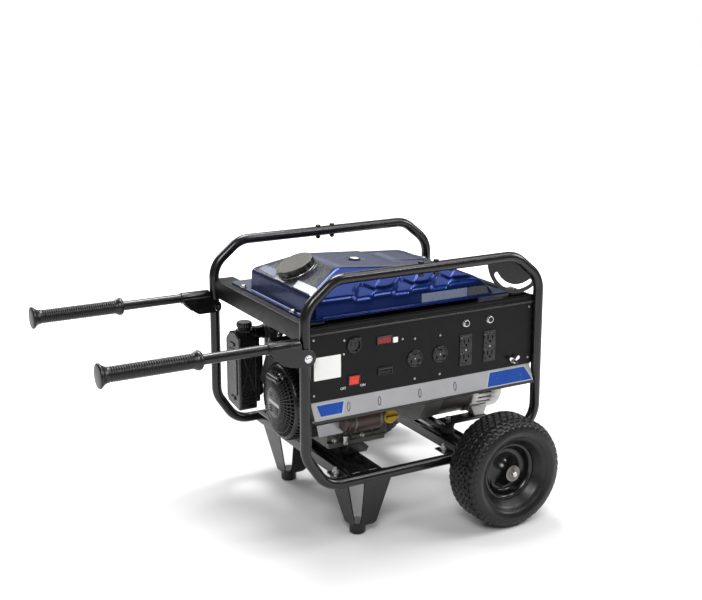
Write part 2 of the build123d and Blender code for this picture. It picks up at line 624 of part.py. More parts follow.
def rocker_frame(place):
    """Snap-in frame with the two side bores for the rocker's trunnions."""
    x, z, w, h = place
    y0 = PANEL_Y - 3
    frame = block((x - w / 2, x + w / 2), (y0, y0 + 20), (z - h / 2, z + h / 2))
    frame -= block((x - w / 2 + 2.5, x + w / 2 - 2.5), (y0 - 1, y0 + 17), (z - h / 2 + 1.4, z + h / 2 - 1.4))
    y = PANEL_Y + ROCKER_PIVOT
    return frame - rod(1.5 + RUN_GAP, (x - w / 2 + 0.8, y, z), (x + w / 2 - 0.8, y, z))


def rocker(place):
    """Rocker key: a drum about its trunnions with two flats in front, tipped to one side."""
    x, z, w, h = place
    y, r = PANEL_Y + ROCKER_PIVOT, h / 2 - 1.9
    drum = Circle(r) & Pos(r - 4.5, 0) * Rectangle(2 * r, 2 * r)
    drum -= make_face(Polyline((-r - 1, 0), (-r - 1, r), (-4.5, r), (-2.5, 0), (-4.5, -r), (-r - 1, -r), close=True))
    drum -= Pos(r + 3, 0) * Rectangle(r + 1, 3 * r)
    key = plate_yz(Pos(y, z) * Rot(0, 0, ROCKER_TILT) * drum, x - w / 2 + 3, x + w / 2 - 3)
    return key + rod(1.5, (x - w / 2 + 1.2, y, z), (x + w / 2 - 1.2, y, z))


def button_collar(place):
    """Threaded collar that guides a reset button."""
    x, z = place
    y0 = PANEL_Y - 4
    collar = rod(BUTTON_R + 2, (x, y0, z), (x, PANEL_Y + 20, z))
    return collar - rod(BUTTON_R + RUN_GAP, (x, y0 - 1, z), (x, PANEL_Y + 17, z))


def reset_button(place):
    """Push button with a rounded end."""
    x, z = place
    profile = [(0, 0), (BUTTON_R, 0), (BUTTON_R, 18), (BUTTON_R - 1.5, 20), (0, 20.5)]
    return turned(profile, (x, PANEL_Y + 12, z), (0, -1, 0))


def ground_stud():
    """Earth stud with its fixed nut."""
    x, z = STUD_AT
    stud = rod(STUD_R, (x, PANEL_Y - 22, z), (x, PANEL_Y + 12, z))
    return stud + plate_xz(Pos(x, z) * RegularPolygon(5.5, 6), PANEL_Y - 4, PANEL_Y)


def wing_nut():
    """Wing nut running on the earth stud."""
    x, z = STUD_AT
    y0 = PANEL_Y - 13
    nut = rod(6, (x, y0, z), (x, PANEL_Y - 4.4, z))
    for turn in (35, 215):
        wing = extrude(Pos(10, 0) * Ellipse(7.5, 4.5), amount=2.4)
        nut += Pos(x, y0 + 4, z) * Rot(0, -turn, 0) * Pos(0, 1.2, 0) * (Rot(90, 0, 0) * wing)
    return nut - rod(STUD_R + RUN_GAP, (x, y0 - 4, z), (x, PANEL_Y, z))


# ---- engine ----
BLOCK_X = (120.0, 288.0)
BLOCK_FRONT = -132.0
BLOCK_BACK = 48.0
FOOT_Z = 38.0
SLANT = 27.0                     # cylinder rise above the horizontal, towards +Y
OIL_CAP_AT = (280.0, 101.0)


def cylinder_plane(x):
    """Plane on the crank axis at the given X whose normal runs along the cylinder."""
    return Plane(origin=(x, CRANK_Y, CRANK_Z), x_dir=(1, 0, 0), z_dir=(0, cos(radians(SLANT)), sin(radians(SLANT))))


def crankcase():
    """Cast crankcase: hollow arched body, foot flange, oil filler boss and the bore for the shaft."""
    x0, x1 = BLOCK_X
    outline = [(BLOCK_FRONT, FOOT_Z + 10), (BLOCK_FRONT, 150), (BLOCK_FRONT + 34, 206), (-28, 226), (20, 206),
               (BLOCK_BACK, 150), (BLOCK_BACK, FOOT_Z + 10)]
    case = plate_yz(outline, x0, x1)
    case = fillet(case.edges().filter_by(Axis.X), 10)
    hollow = [(BLOCK_FRONT + 9, FOOT_Z + 22), (BLOCK_FRONT + 9, 146), (BLOCK_FRONT + 40, 196), (-30, 214), (14, 194),
              (BLOCK_BACK - 9, 146), (BLOCK_BACK - 9, FOOT_Z + 22)]
    case -= plate_yz(hollow, x0 + 9, x1 - 9)
    case += block((x0, x1 - 12), (BLOCK_FRONT - 8, BLOCK_BACK + 12), (FOOT_Z, FOOT_Z + 12))
    for x in (150.0, 180.0, 210.0, 240.0):
        case += block((x, x + 4), (BLOCK_FRONT - 5, BLOCK_FRONT + 4), (FOOT_Z + 10, 78))
    x, z = OIL_CAP_AT
    case += rod(17, (x - 1, BLOCK_FRONT - 26, z), (x - 1, BLOCK_FRONT + 9, z)) & block(
        (x0, x1), (BLOCK_FRONT - 30, BLOCK_BACK), (0, 200))
    case -= rod(12.0 + RUN_GAP, (x - 1, BLOCK_FRONT - 30, z), (x - 1, BLOCK_FRONT - 2, z))
    case -= rod(SHAFT_R + RUN_GAP, (x0 - 1, CRANK_Y, CRANK_Z), (x1 + 1, CRANK_Y, CRANK_Z))
    seat = cylinder_plane(210) * Pos(0, 0, 100) * Box(140, 130, 60, align=(Align.CENTER, Align.CENTER, Align.MIN))
    return case - seat - stud_holes(FOOT_Z - 1, FOOT_Z + 30)


def cylinder():
    """Finned barrel between the crankcase and the head."""
    barrel = Cylinder(46, 62, align=(Align.CENTER, Align.CENTER, Align.MIN))
    for i in range(6):
        barrel += Pos(0, 0, 6 + 9 * i) * Box(116, 108, 3, align=(Align.CENTER, Align.CENTER, Align.MIN))
    return cylinder_plane(210) * Pos(0, 0, 100) * barrel


def cylinder_head():
    """Finned head with the rocker cover pressed over it."""
    head = Box(96, 92, 34, align=(Align.CENTER, Align.CENTER, Align.MIN))
    for i in range(3):
        head += Pos(0, 0, 4 + 10 * i) * Box(120, 112, 3, align=(Align.CENTER, Align.CENTER, Align.MIN))
    cover = Pos(0, 0, 34) * Box(84, 78, 20, align=(Align.CENTER, Align.CENTER, Align.MIN))
    head += fillet(cover.edges().group_by(Axis.Z)[-1], 8)
    return cylinder_plane(210) * Pos(0, 0, 162) * head


FAN_X = (60.0, 118.0)            # space that the blower housing spans
FAN_R = 98.0
RECOIL_X = 18.0
RECOIL_R = 92.0


def scroll(radius, reach, width):
    """Blower outline in Y, Z: a circle about the crank with a chute along the cylinder."""
    shape = Pos(CRANK_Y, CRANK_Z) * Circle(radius)
    chute = Rot(0, 0, SLANT) * (Pos(reach / 2, 0) * Rectangle(reach, width))
    return shape + Pos(CRANK_Y, CRANK_Z) * chute


def blower_housing():
    """Pressed cowl round the flywheel that leads the cooling air along the cylinder."""
    x0, x1 = FAN_X
    cowl = plate_yz(scroll(FAN_R, 150, 2 * FAN_R - 60), x0, x1)
    cowl -= plate_yz(scroll(FAN_R - 2, 148, 2 * FAN_R - 64), x0 + 2, x1 + 1)
    cowl -= rod(RECOIL_R - 14, (x0 - 1, CRANK_Y, CRANK_Z), (x0 + 4, CRANK_Y, CRANK_Z))
    fins = []
    for i in range(9):
        angle = radians(150 + 15 * i)
        y, z = CRANK_Y + FAN_R * cos(angle), CRANK_Z + FAN_R * sin(angle)
        fins.append(rod(2.2, (x0 + 2, y, z), (x1 - 4, y, z)))
    return cowl + fins


def recoil_cover():
    """Moulded starter cover: a shallow cup with rings of radial louvres round a plain centre."""
    depth = FAN_X[0] - RECOIL_X
    profile = [(0, 0), (40, 0), (66, 5), (RECOIL_R - 6, 14), (RECOIL_R, 24), (RECOIL_R, depth), (RECOIL_R - 3, depth),
               (RECOIL_R - 3, 25), (RECOIL_R - 8, 17), (66, 8), (40, 3), (0, 3)]
    cover = turned(profile, (RECOIL_X, CRANK_Y, CRANK_Z), (1, 0, 0))
    slots = []
    for i in range(24):
        slot = Pos(66, 0, 0) * Box(26, 5.5, 60)
        slots.append(Pos(RECOIL_X, CRANK_Y, CRANK_Z) * Rot(0, 90, 0) * Rot(0, 0, 15 * i) * slot)
    cover -= slots
    guide = rod(9, (RECOIL_X - 4, *PULL_AT), (RECOIL_X + 30, *PULL_AT))
    cover += guide
    return cover - rod(3 + RUN_GAP, (RECOIL_X - 6, *PULL_AT), (RECOIL_X + 26, *PULL_AT))


PULL_AT = (-92.0, 222.0)         # Y, Z of the rope guide


def pull_grip():
    """Starter grip with the knot end of its rope in the guide."""
    y, z = PULL_AT
    x = RECOIL_X - 4.4
    bar = rod(8, (x - 13, y - 30, z), (x - 13, y + 30, z))
    bar = fillet(bar.edges().filter_by(GeomType.CIRCLE), 4)
    neck = turned([(0, 0), (7, 0), (8, 12), (0, 12)], (x, y, z), (-1, 0, 0))
    return bar + neck + rod(3, (x - 1, y, z), (x + 26, y, z))


def flywheel():
    """Cast flywheel with its fan blades, inside the blower housing."""
    x = FAN_X[0] + 14
    disc = rod(82, (x + 14, CRANK_Y, CRANK_Z), (x + 34, CRANK_Y, CRANK_Z))
    blades = []
    for i in range(12):
        blade = Pos(62, 0, 0) * Box(30, 3, 14, align=(Align.CENTER, Align.CENTER, Align.MIN))
        blades.append(Pos(x, CRANK_Y, CRANK_Z) * Rot(0, 90, 0) * Rot(0, 0, 30 * i) * blade)
    return (disc + blades) - rod(SHAFT_R, (x - 2, CRANK_Y, CRANK_Z), (x + 40, CRANK_Y, CRANK_Z))


SHAFT_END = 624.0


def crankshaft():
    """Crankshaft and the rotor shaft bolted to it, as one running line."""
    shaft = rod(SHAFT_R, (FAN_X[0] + 6, CRANK_Y, CRANK_Z), (SHAFT_END, CRANK_Y, CRANK_Z))
    return shaft + rod(20, (BLOCK_X[1] + 6, CRANK_Y, CRANK_Z), (BLOCK_X[1] + 60, CRANK_Y, CRANK_Z))


ADAPTOR_X = (288.0, 440.0)
STATOR_X = (440.0, 532.0)
BELL_X = (532.0, 632.0)
BELL_HALF = 98.0


def rotor():
    """Laminated rotor inside the stator, with its cooling fan."""
    x0, x1 = STATOR_X
    core = rod(66, (x0 + 6, CRANK_Y, CRANK_Z), (x1 - 6, CRANK_Y, CRANK_Z))
    core += rod(84, (x0 - 26, CRANK_Y, CRANK_Z), (x0 - 16, CRANK_Y, CRANK_Z))
    core += rod(40, (x0 - 17, CRANK_Y, CRANK_Z), (x0 + 7, CRANK_Y, CRANK_Z))
    return core - rod(SHAFT_R, (x0 - 40, CRANK_Y, CRANK_Z), (x1 + 4, CRANK_Y, CRANK_Z))


def alternator_adaptor():
    """Cast bell between engine and alternator, open inside."""
    x0, x1 = ADAPTOR_X
    r, length = STATOR_R, x1 - x0
    outer = [(66, 0), (84, 12), (90, 60), (r, 100), (r, length), (r - 8, length), (r - 8, 104),
             (82, 64), (76, 16), (24, 10), (24, 0)]
    return turned(outer, (x0, CRANK_Y, CRANK_Z), (1, 0, 0))


def stator():
    """Laminated stator ring."""
    x0, x1 = STATOR_X
    ring = rod(STATOR_R - 2, (x0, CRANK_Y, CRANK_Z), (x1, CRANK_Y, CRANK_Z))
    ring = chamfer(ring.edges().filter_by(GeomType.CIRCLE), 2)
    return ring - rod(67.5, (x0 - 1, CRANK_Y, CRANK_Z), (x1 + 1, CRANK_Y, CRANK_Z))


def end_bell():
    """Cast end frame: rounded square cup with cooling slots, the rear bearing boss and two feet."""
    x0, x1 = BELL_X
    y, z, r = CRANK_Y, CRANK_Z, BELL_HALF
    bell = plate_yz(Pos(y, z) * RectangleRounded(2 * r, 2 * r, 62), x0, x1)
    bell = fillet(bell.faces().sort_by(Axis.X)[-1].edges(), 14)
    foot_x = ISOLATORS[2][0]
    wedge = [(x0, 66), (x0 + 48, 66), (x0 + 43, FOOT_Z), (foot_x - 22, FOOT_Z), (foot_x - 22, FOOT_Z + 8),
             (x0, FOOT_Z + 8)]
    for foot_y in (ISOLATORS[2][1], ISOLATORS[3][1]):
        bell += plate_xz(wedge, foot_y - 20, foot_y + 20)
    bell -= plate_yz(Pos(y, z) * RectangleRounded(2 * r - 10, 2 * r - 10, 57), x0 - 1, x1 - 5)
    bell += rod(26, (x1 - 34, y, z), (x1 - 4, y, z))
    slots = []
    for i in range(-4, 5):
        for side in (-1, 1):
            middle = y + side * (r - 4)
            slots.append(block((x0 + 20, x0 + 58), (middle - 12, middle + 12), (z + 13 * i - 2.5, z + 13 * i + 2.5)))
    for i in range(-3, 4):
        slots.append(block((x0 + 20, x0 + 58), (y + 13 * i - 2.5, y + 13 * i + 2.5), (z + r - 12, z + r + 4)))
    bell -= slots
    bell -= stud_holes(FOOT_Z - 1, FOOT_Z + 30)
    return bell - rod(SHAFT_R + RUN_GAP, (x1 - 40, y, z), (x1 - 6, y, z))


def starter_motor():
    """Electric starter: motor barrel, end cap and the drive housing bolted to the crankcase."""
    y, z, r = -165.0, 113.0, 31.0
    motor = rod(r, (148, y, z), (236, y, z)) + rod(r - 4, (236, y, z), (244, y, z))
    return motor + rod(r - 6, (118, y, z), (148, y, z)) + block((84, 149), (-153, -150), (77, 109))


def oil_cap():
    """Dipstick cap in the filler boss, with a finger bar across it."""
    x, z = OIL_CAP_AT
    x -= 1
    y = BLOCK_FRONT - 26.4
    cap = turned([(0, 0), (18, 0), (18, 6), (14, 9), (0, 9)], (x, y, z), (0, -1, 0))
    cap += block((x - 15, x + 15), (y - 18, y - 8), (z - 3, z + 3))
    return cap + rod(12.0, (x, y - 1, z), (x, y + 20, z))


AIR_BOX = ((8.0, 72.0), (134.0, 214.0), (66.0, 300.0))


def air_cleaner_cover():
    """Tall moulded cover with sloped shoulders, cooling ribs low down and latch ridges on top."""
    (x0, x1), (y0, y1), (z0, z1) = AIR_BOX
    outline = [(y0, z0 + 6), (y1 - 10, z0 + 12), (y1, z0 + 26), (y1, z1 - 44), (y1 - 26, z1 - 14), (y0 + 26, z1),
               (y0, z1 - 12)]
    cover = plate_yz(outline, x0, x1 - 3)
    cover = fillet(cover.edges().filter_by(Axis.X), 6)
    inner = [(y0 + 3, z0 + 9), (y1 - 11, z0 + 15), (y1 - 3, z0 + 28), (y1 - 3, z1 - 45), (y1 - 27, z1 - 17),
             (y0 + 27, z1 - 3), (y0 + 3, z1 - 14)]
    cover -= plate_yz(inner, x0 + 3, x1)
    for i in range(5):
        cover += block((x0 + 12, x1 - 8), (y0 - 3, y0 + 1), (z0 + 14 + 9 * i, z0 + 18 + 9 * i))
    cover += block((x0 - 3, x0 + 1), (y0 + 20, y1 - 24), (z0 + 60, z1 - 60))
    return cover


def air_cleaner_base():
    """Back plate of the air cleaner with the intake elbow to the carburettor."""
    (x0, x1), (y0, y1), (z0, z1) = AIR_BOX
    base = block((x1 - 3, x1 + 5), (y0, y1), (z0 + 20, z1 - 20))
    cx, cy, cz = CARB_AT
    base += rod(17, (x1 + 3, y0 + 24, cz), (cx - 21, y0 + 24, cz))
    return base - rod(13, (x1 - 5, y0 + 24, cz), (cx - 20, y0 + 24, cz))


def carburettor():
    """Carburettor: body, float bowl, flanges and the choke spindle boss."""
    cx, cy, cz = CARB_AT
    y = AIR_BOX[1][0] + 24
    body = block((cx - 21, cx + 21), (y - 20, y + 20), (cz - 17, cz + 17))
    body = fillet(body.edges().filter_by(Axis.X), 6)
    body += rod(17, (cx, y, cz - 44), (cx, y, cz - 16)) + rod(4, (cx - 4, cy - 24, cz + 4), (cx - 4, y - 18, cz + 4))
    body -= rod(11, (cx - 22, y, cz), (cx + 22, y, cz))
    return body + rod(3, (cx - 6, y, cz + 16), (cx - 6, y, cz + 27))


def choke_lever():
    """Choke lever on top of the carburettor."""
    cx, cy, cz = CARB_AT
    y = AIR_BOX[1][0] + 24
    outline = Circle(7) + Pos(0, -19) * Rectangle(6, 38) + Pos(0, -40) * Circle(6)
    lever = Pos(cx - 6, y, cz + 20) * extrude(outline, amount=4)
    return lever - rod(3 + RUN_GAP, (cx - 6, y, cz + 18), (cx - 6, y, cz + 26))


def intake_pipe():
    """Elbow that carries the carburettor on the cylinder head."""
    cx, cy, cz = CARB_AT
    y = AIR_BOX[1][0] + 24
    return rod(16, (cx + 21, y, cz), (cx + 44, y, cz)) - rod(11, (cx + 20, y, cz), (cx + 45, y, cz))


MUFFLER = ((290.0, 440.0), (120.0, 214.0), (208.0, 318.0))


def muffler():
    """Pressed muffler box with its seam, inlet pipe and outlet spout."""
    (x0, x1), (y0, y1), (z0, z1) = MUFFLER
    box = block((x0, x1), (y0, y1), (z0, z1))
    box = fillet(box.edges().filter_by(Axis.X), 24)
    hollow = block((x0 + 2, x1 - 2), (y0 + 2, y1 - 2), (z0 + 2, z1 - 2))
    box -= fillet(hollow.edges().filter_by(Axis.X), 22)
    seam = block((x0 - 4, x1 + 4), ((y0 + y1) / 2 - 1.5, (y0 + y1) / 2 + 1.5), (z0 - 4, z1 + 4))
    box += seam - block((x0 + 1, x1 - 1), (y0, y1), (z0 + 1, z1 - 1))
    box += rod(14, (x0 - 20, 146, 250), (x0 + 2, 146, 250))
    box += rod(12, (x1 - 2, 182, 262), (x1 + 32, 182, 262))
    return box - rod(10, (x1 - 4, 182, 262), (x1 + 34, 182, 262))


def muffler_guard():
    """Pierced sheet that stands off behind the muffler."""
    (x0, x1), (y0, y1), (z0, z1) = MUFFLER
    guard = block((x0 - 6, x1 + 6), (y1 + 12, y1 + 14), (z0 - 6, z1 + 6))
    guard += block((x0 - 6, x1 + 6), (y1 - 40, y1 + 14), (z1 + 6, z1 + 8))
    slots = []
    for i in range(7):
        for z in (z0 + 6, z0 + 44, z0 + 82):
            x = x0 + 8 + 20 * i
            slots.append(block((x, x + 9), (y1 + 10, y1 + 16), (z, z + 26)))
    feet = [rod(4, (x, y1, 262), (x, y1 + 12.5, 262)) for x in (x0 + 10, x1 - 10)]
    return (guard - slots) + feet


def plug_lead():
    """Spark plug boot and the high-tension lead back to the blower housing."""
    boot = rod(9, (141, 96, 268), (141, 74, 296))
    path = FilletPolyline((141, 76, 293), (141, 62, 306), (112, 40, 306), (100, 10, 260), radius=14)
    lead = sweep(Plane(origin=path @ 0, z_dir=path % 0) * Circle(3.5), path=path)
    return boot + lead


# ---- mounts of the power unit ----
ISOLATORS = ((188.0, -118.0), (188.0, 42.0), (474.0, -126.0), (474.0, 26.0))


def isolator(x, y):
    """Waisted rubber mount between a base beam and a foot."""
    h = FOOT_Z - BASE_TOP
    profile = [(4.2, 0), (18, 0), (18, 4), (15, h / 2), (18, h - 4), (18, h), (4.2, h)]
    return turned(profile, (x, y, BASE_TOP), (0, 0, 1))


def hex_bolt(radius, start, end, head):
    """Hexagon bolt whose head sits at start and whose nut sits at end."""
    shank = rod(radius, start, end)
    line = (Vector(*end) - Vector(*start)).normalized()
    for point, way in ((Vector(*start), -line), (Vector(*end), line)):
        nut = extrude(RegularPolygon(head, 6), amount=radius * 1.2)
        shank += Plane(origin=point, z_dir=way) * nut
    return shank


def frame_bolts():
    """Visible zinc fasteners: rail bolts, tank bolts, drain plugs and the handle pivots."""
    bolts = []
    for y in (-HALF_WIDTH, HALF_WIDTH):
        for x in RAIL_BOLT_X:
            bolts.append(hex_bolt(RAIL_BOLT_R, (x, y, HOOP_HEIGHT + TUBE_R), (x, y, HOOP_HEIGHT - TUBE_R), 6.5))
        far = CHEEK[1] + 0.4
        bolts.append(hex_bolt(PIVOT_R, (0, y - far, PIVOT_Z), (0, y + far, PIVOT_Z), 8.5))
    for x, y in tank_bolt_places():
        bolts.append(hex_bolt(4.0, (x, y, TANK_SEAM), (x, y, BEAM_TOP - SHEET), 6.5))
    for x in (131.0, 166.0):
        bolts.append(rod(7, (x, BLOCK_FRONT - 14, 60), (x, BLOCK_FRONT, 60)))
    return bolts


def stud_holes(low, high):
    """Clearance holes for the studs of the rubber mounts."""
    return [rod(4.3, (x, y, low), (x, y, high)) for x, y in ISOLATORS]


def isolator_bolts():
    """Studs and nuts through the rubber mounts."""
    return [rod(4.0, (x, y, BASE_TOP - 12), (x, y, FOOT_Z + 10)) for x, y in ISOLATORS]


def main():
    """Build every node and write it to parts/."""
    os.makedirs("parts", exist_ok=True)
    save("front_hoop", hoop(-HALF_WIDTH))
    save("back_hoop", hoop(HALF_WIDTH))
    save("top_beams", top_beam(True), top_beam(False))
    save("base_beams", *[base_beam(*span) for span in BASE_BEAMS])
    save("corner_gusset", corner_gusset())
    save("legs", *[leg(*corner) for corner in LEG_CORNERS])
    save("leg_pads", *[leg_pad(*corner) for corner in LEG_CORNERS])
    save("axle_brackets", *either_side(axle_bracket))
    save("axle", axle())
    save("wheel_retainers", *wheel_retainer(-1), *wheel_retainer(1))
    for side, word in ((-1, "front"), (1, "back")):
        save(f"rim_{word}", wheel_rim(side))
        save(f"tyre_{word}", tyre(side))
        save(f"handle_{word}", handle(side))
        save(f"grip_{word}", grip(side))
    save("tank_top", tank_top())
    save("tank_bottom", tank_bottom())
    save("filler_neck", filler_neck())
    save("fuel_cap", fuel_cap())
    save("fuel_gauge", fuel_gauge())
    save("fuel_tap", fuel_tap())
    save("fuel_lever", fuel_lever())
    save("fuel_hose", fuel_hose())
    save("panel_box", panel_box())
    save("panel_apron", panel_apron())
    save("round_outlets", *[twist_lock(x) for x in TWIST_LOCK_X], dc_socket())
    save("duplex_outlets", *[duplex(x) for x in DUPLEX_X])
    save("hour_meter", hour_meter())
    save("panel_fittings", rocker_frame(RED_ROCKER), rocker_frame(BLACK_ROCKER),
         *[button_collar(place) for place in BUTTON_AT], ground_stud())
    save("engine_switch", rocker(RED_ROCKER))
    save("selector_switch", rocker(BLACK_ROCKER))
    save("reset_button_left", reset_button(BUTTON_AT[0]))
    save("reset_button_right", reset_button(BUTTON_AT[1]))
    save("wing_nut", wing_nut())
    save("crankcase", crankcase())
    save("cylinder", cylinder())
    save("cylinder_head", cylinder_head())
    save("blower_housing", blower_housing())
    save("recoil_cover", recoil_cover())
    save("pull_grip", pull_grip())
    save("flywheel", flywheel())
    save("crankshaft", crankshaft())
    save("rotor", rotor())
    save("alternator_adaptor", alternator_adaptor())
    save("stator", stator())
    save("end_bell", end_bell())
    save("starter_motor", starter_motor())
    save("oil_cap", oil_cap())
    save("air_cleaner_cover", air_cleaner_cover())
    save("air_cleaner_base", air_cleaner_base())
    save("carburettor", carburettor(), intake_pipe())
    save("choke_lever", choke_lever())
    save("muffler", muffler())
    save("muffler_guard", muffler_guard())
    save("plug_lead", plug_lead())
    save("isolators", *[isolator(*place) for place in ISOLATORS])
    save("frame_bolts", *frame_bolts(), *isolator_bolts())


main()
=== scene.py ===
import logging
import math
from dataclasses import dataclass
from enum import Enum
from functools import cache

import bpy
import numpy as np
from mathutils import Matrix, Vector


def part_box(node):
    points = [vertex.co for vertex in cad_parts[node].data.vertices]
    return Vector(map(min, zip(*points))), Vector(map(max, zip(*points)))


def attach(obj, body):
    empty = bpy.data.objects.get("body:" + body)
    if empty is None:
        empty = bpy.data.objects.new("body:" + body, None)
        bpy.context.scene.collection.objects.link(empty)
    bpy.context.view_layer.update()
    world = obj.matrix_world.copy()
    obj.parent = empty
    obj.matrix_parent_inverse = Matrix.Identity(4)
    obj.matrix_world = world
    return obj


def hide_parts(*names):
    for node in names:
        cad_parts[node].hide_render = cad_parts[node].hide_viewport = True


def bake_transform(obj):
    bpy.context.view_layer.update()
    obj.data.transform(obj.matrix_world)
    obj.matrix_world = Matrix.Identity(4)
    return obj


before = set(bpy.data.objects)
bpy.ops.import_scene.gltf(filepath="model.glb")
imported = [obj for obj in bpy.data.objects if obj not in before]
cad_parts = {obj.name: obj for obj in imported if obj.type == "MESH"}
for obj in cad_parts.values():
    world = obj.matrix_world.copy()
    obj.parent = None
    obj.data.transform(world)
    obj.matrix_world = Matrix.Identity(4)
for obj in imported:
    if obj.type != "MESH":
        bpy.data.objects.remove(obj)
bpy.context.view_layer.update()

log = logging.getLogger("generator")
Array = np.ndarray
Pair = tuple[float, float]
Point = tuple[float, float, float]
Socket = bpy.types.NodeSocket
Material = bpy.types.Material

# The working datum is the same as the source's: X from the left hoop posts, Z from the bottom rail,
# millimetres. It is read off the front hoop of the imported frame.
TUBE_R = 12.7
HOOP_LOW, HOOP_HIGH = (np.array(corner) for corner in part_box("front_hoop"))
DATUM = np.array([HOOP_LOW[0] + TUBE_R / 1000, 0.0, HOOP_LOW[2] + TUBE_R / 1000])
POST_SPAN = (HOOP_HIGH[0] - HOOP_LOW[0]) * 1000 - 2 * TUBE_R
HOOP_HEIGHT = (HOOP_HIGH[2] - HOOP_LOW[2]) * 1000 - 2 * TUBE_R
HALF_WIDTH = -(HOOP_LOW[1] + HOOP_HIGH[1]) * 500
TAU = 2 * math.pi
# Y and Z of the crank's axis, and the unit directions.
CRANK = (-50.0, 146.0)
RIGHT, LEFT, BACK, FRONT, UP, DOWN = (1, 0, 0), (-1, 0, 0), (0, 1, 0), (0, -1, 0), (0, 0, 1), (0, 0, -1)


# ---- surfaces ----
@dataclass
class Shell:
    """One or more surfaces in millimetres from the working datum.

    Args:
        verts: (n, 3) array of points.
        faces: list of (m, k) index arrays, one per number of corners.
    """
    verts: Array
    faces: list[Array]

    def __add__(self, other: "Shell") -> "Shell":
        """Both surfaces together, not merged."""
        shift = len(self.verts)
        return Shell(np.vstack([self.verts, other.verts]), self.faces + [f + shift for f in other.faces])

    def flipped(self) -> "Shell":
        """The same surface with its faces turned over."""
        return Shell(self.verts, [f[:, ::-1] for f in self.faces])


def joined(shells: list[Shell]) -> Shell:
    """All the surfaces of a list as one."""
    return sum(shells[1:], shells[0])


def grid(points: Array, wrap_u: bool = False, wrap_v: bool = False, cap_u: bool = False) -> Shell:
    """Quads over a (rows, columns, 3) array of points.

    Args:
        points: surface points, row by row.
        wrap_u: join the last row to the first.
        wrap_v: join the last column to the first.
        cap_u: close the first and last rows with one face each.

    Returns:
        The surface, its faces turned by the order of the rows and columns.
    """
    rows, cols = points.shape[:2]
    index = np.arange(rows * cols).reshape(rows, cols)
    i = index if wrap_u else index[:-1]
    up = np.roll(index, -1, 0) if wrap_u else index[1:]
    if wrap_v:
        a, b, c, d = i, np.roll(i, -1, 1), np.roll(up, -1, 1), up
    else:
        a, b, c, d = i[:, :-1], i[:, 1:], up[:, 1:], up[:, :-1]
    faces = [np.stack([a, b, c, d], -1).reshape(-1, 4)]
    if cap_u:
        faces += [index[0][None, ::-1], index[-1][None, :]]
    return Shell(points.reshape(-1, 3), faces)


def axis_frame(axis: Point) -> Array:
    """Two unit vectors square to an axis and the axis itself, as the rows of a 3x3 matrix."""
    w = np.array(axis, float) / np.linalg.norm(axis)
    helper = np.array([0.0, 0.0, 1.0]) if abs(w[2]) < 0.9 else np.array([1.0, 0.0, 0.0])
    u = np.cross(helper, w)
    u /= np.linalg.norm(u)
    return np.array([u, np.cross(w, u), w])


def lathe(profile: list[Pair] | Array, origin: Point, axis: Point, steps: int = 64,
          closed: bool = False) -> Shell:
    """Surface of revolution: at angle t a profile point (r, h) is origin + r cos t u + r sin t v + h w.

    Args:
        profile: (radius, height) pairs, from the bottom of the outside to the top.
        origin: foot of the axis.
        axis: direction of the heights.
        steps: number of angles round the turn.
        closed: join the profile's last point to its first, for a ring.

    Returns:
        The surface, closed with a face at each end that is not on the axis.
    """
    p = np.array(profile, float)
    u, v, w = axis_frame(axis)
    t = np.linspace(0, TAU, steps, endpoint=False)
    ring = np.cos(t)[:, None] * u + np.sin(t)[:, None] * v
    points = np.array(origin, float) + p[:, None, :1] * ring + p[:, None, 1:] * w
    return grid(points, wrap_u=closed, wrap_v=True, cap_u=not closed)


PLANES = {"xz": [0, 2, 1], "yz": [1, 2, 0], "xy": [0, 1, 2]}


def raised(outline: Array, height: float, plane: str = "xz") -> Array:
    """Points of a flat outline, held at a height along the axis that the plane leaves out."""
    points = np.empty((len(outline), 3))
    points[:, PLANES[plane]] = np.column_stack([outline, np.full(len(outline), height)])
    return points


def runs_clockwise(outline: Array) -> bool:
    """Whether an outline encloses a negative area, half the sum of x z' - x' z."""
    return np.sum(outline[:, 0] * np.roll(outline[:, 1], -1) - np.roll(outline[:, 0], -1) * outline[:, 1]) < 0


def outline_plate(outline: Array, low: float, high: float, plane: str = "xz") -> Shell:
    """Flat plate: a closed outline held between two heights along the axis that the plane leaves out."""
    o = np.array(outline, float)
    shell = grid(np.stack([raised(o, low, plane), raised(o, high, plane)]), wrap_v=True, cap_u=True)
    return shell.flipped() if runs_clockwise(o) != (plane == "xz") else shell


def walked(outline: Array) -> tuple[Array, Array]:
    """An outline brought back to its first point, and the distance walked to each of its points."""
    closed = np.vstack([outline, outline[:1]])
    return closed, np.concatenate([[0], np.cumsum(np.linalg.norm(np.diff(closed, axis=0), axis=1))])


def outward(outline: Array) -> Array:
    """Unit normals of an anticlockwise outline, square to the line between the neighbours of each point."""
    way = np.roll(outline, -1, 0) - np.roll(outline, 1, 0)
    way /= np.linalg.norm(way, axis=1)[:, None]
    return np.column_stack([way[:, 1], -way[:, 0]])


def within(away: Array, soft: float) -> Array:
    """One where a signed distance is negative and zero beyond it: the logistic 1 / (1 + exp(away / soft))."""
    return 1 / (1 + np.exp(np.clip(away / soft, -30, 30)))


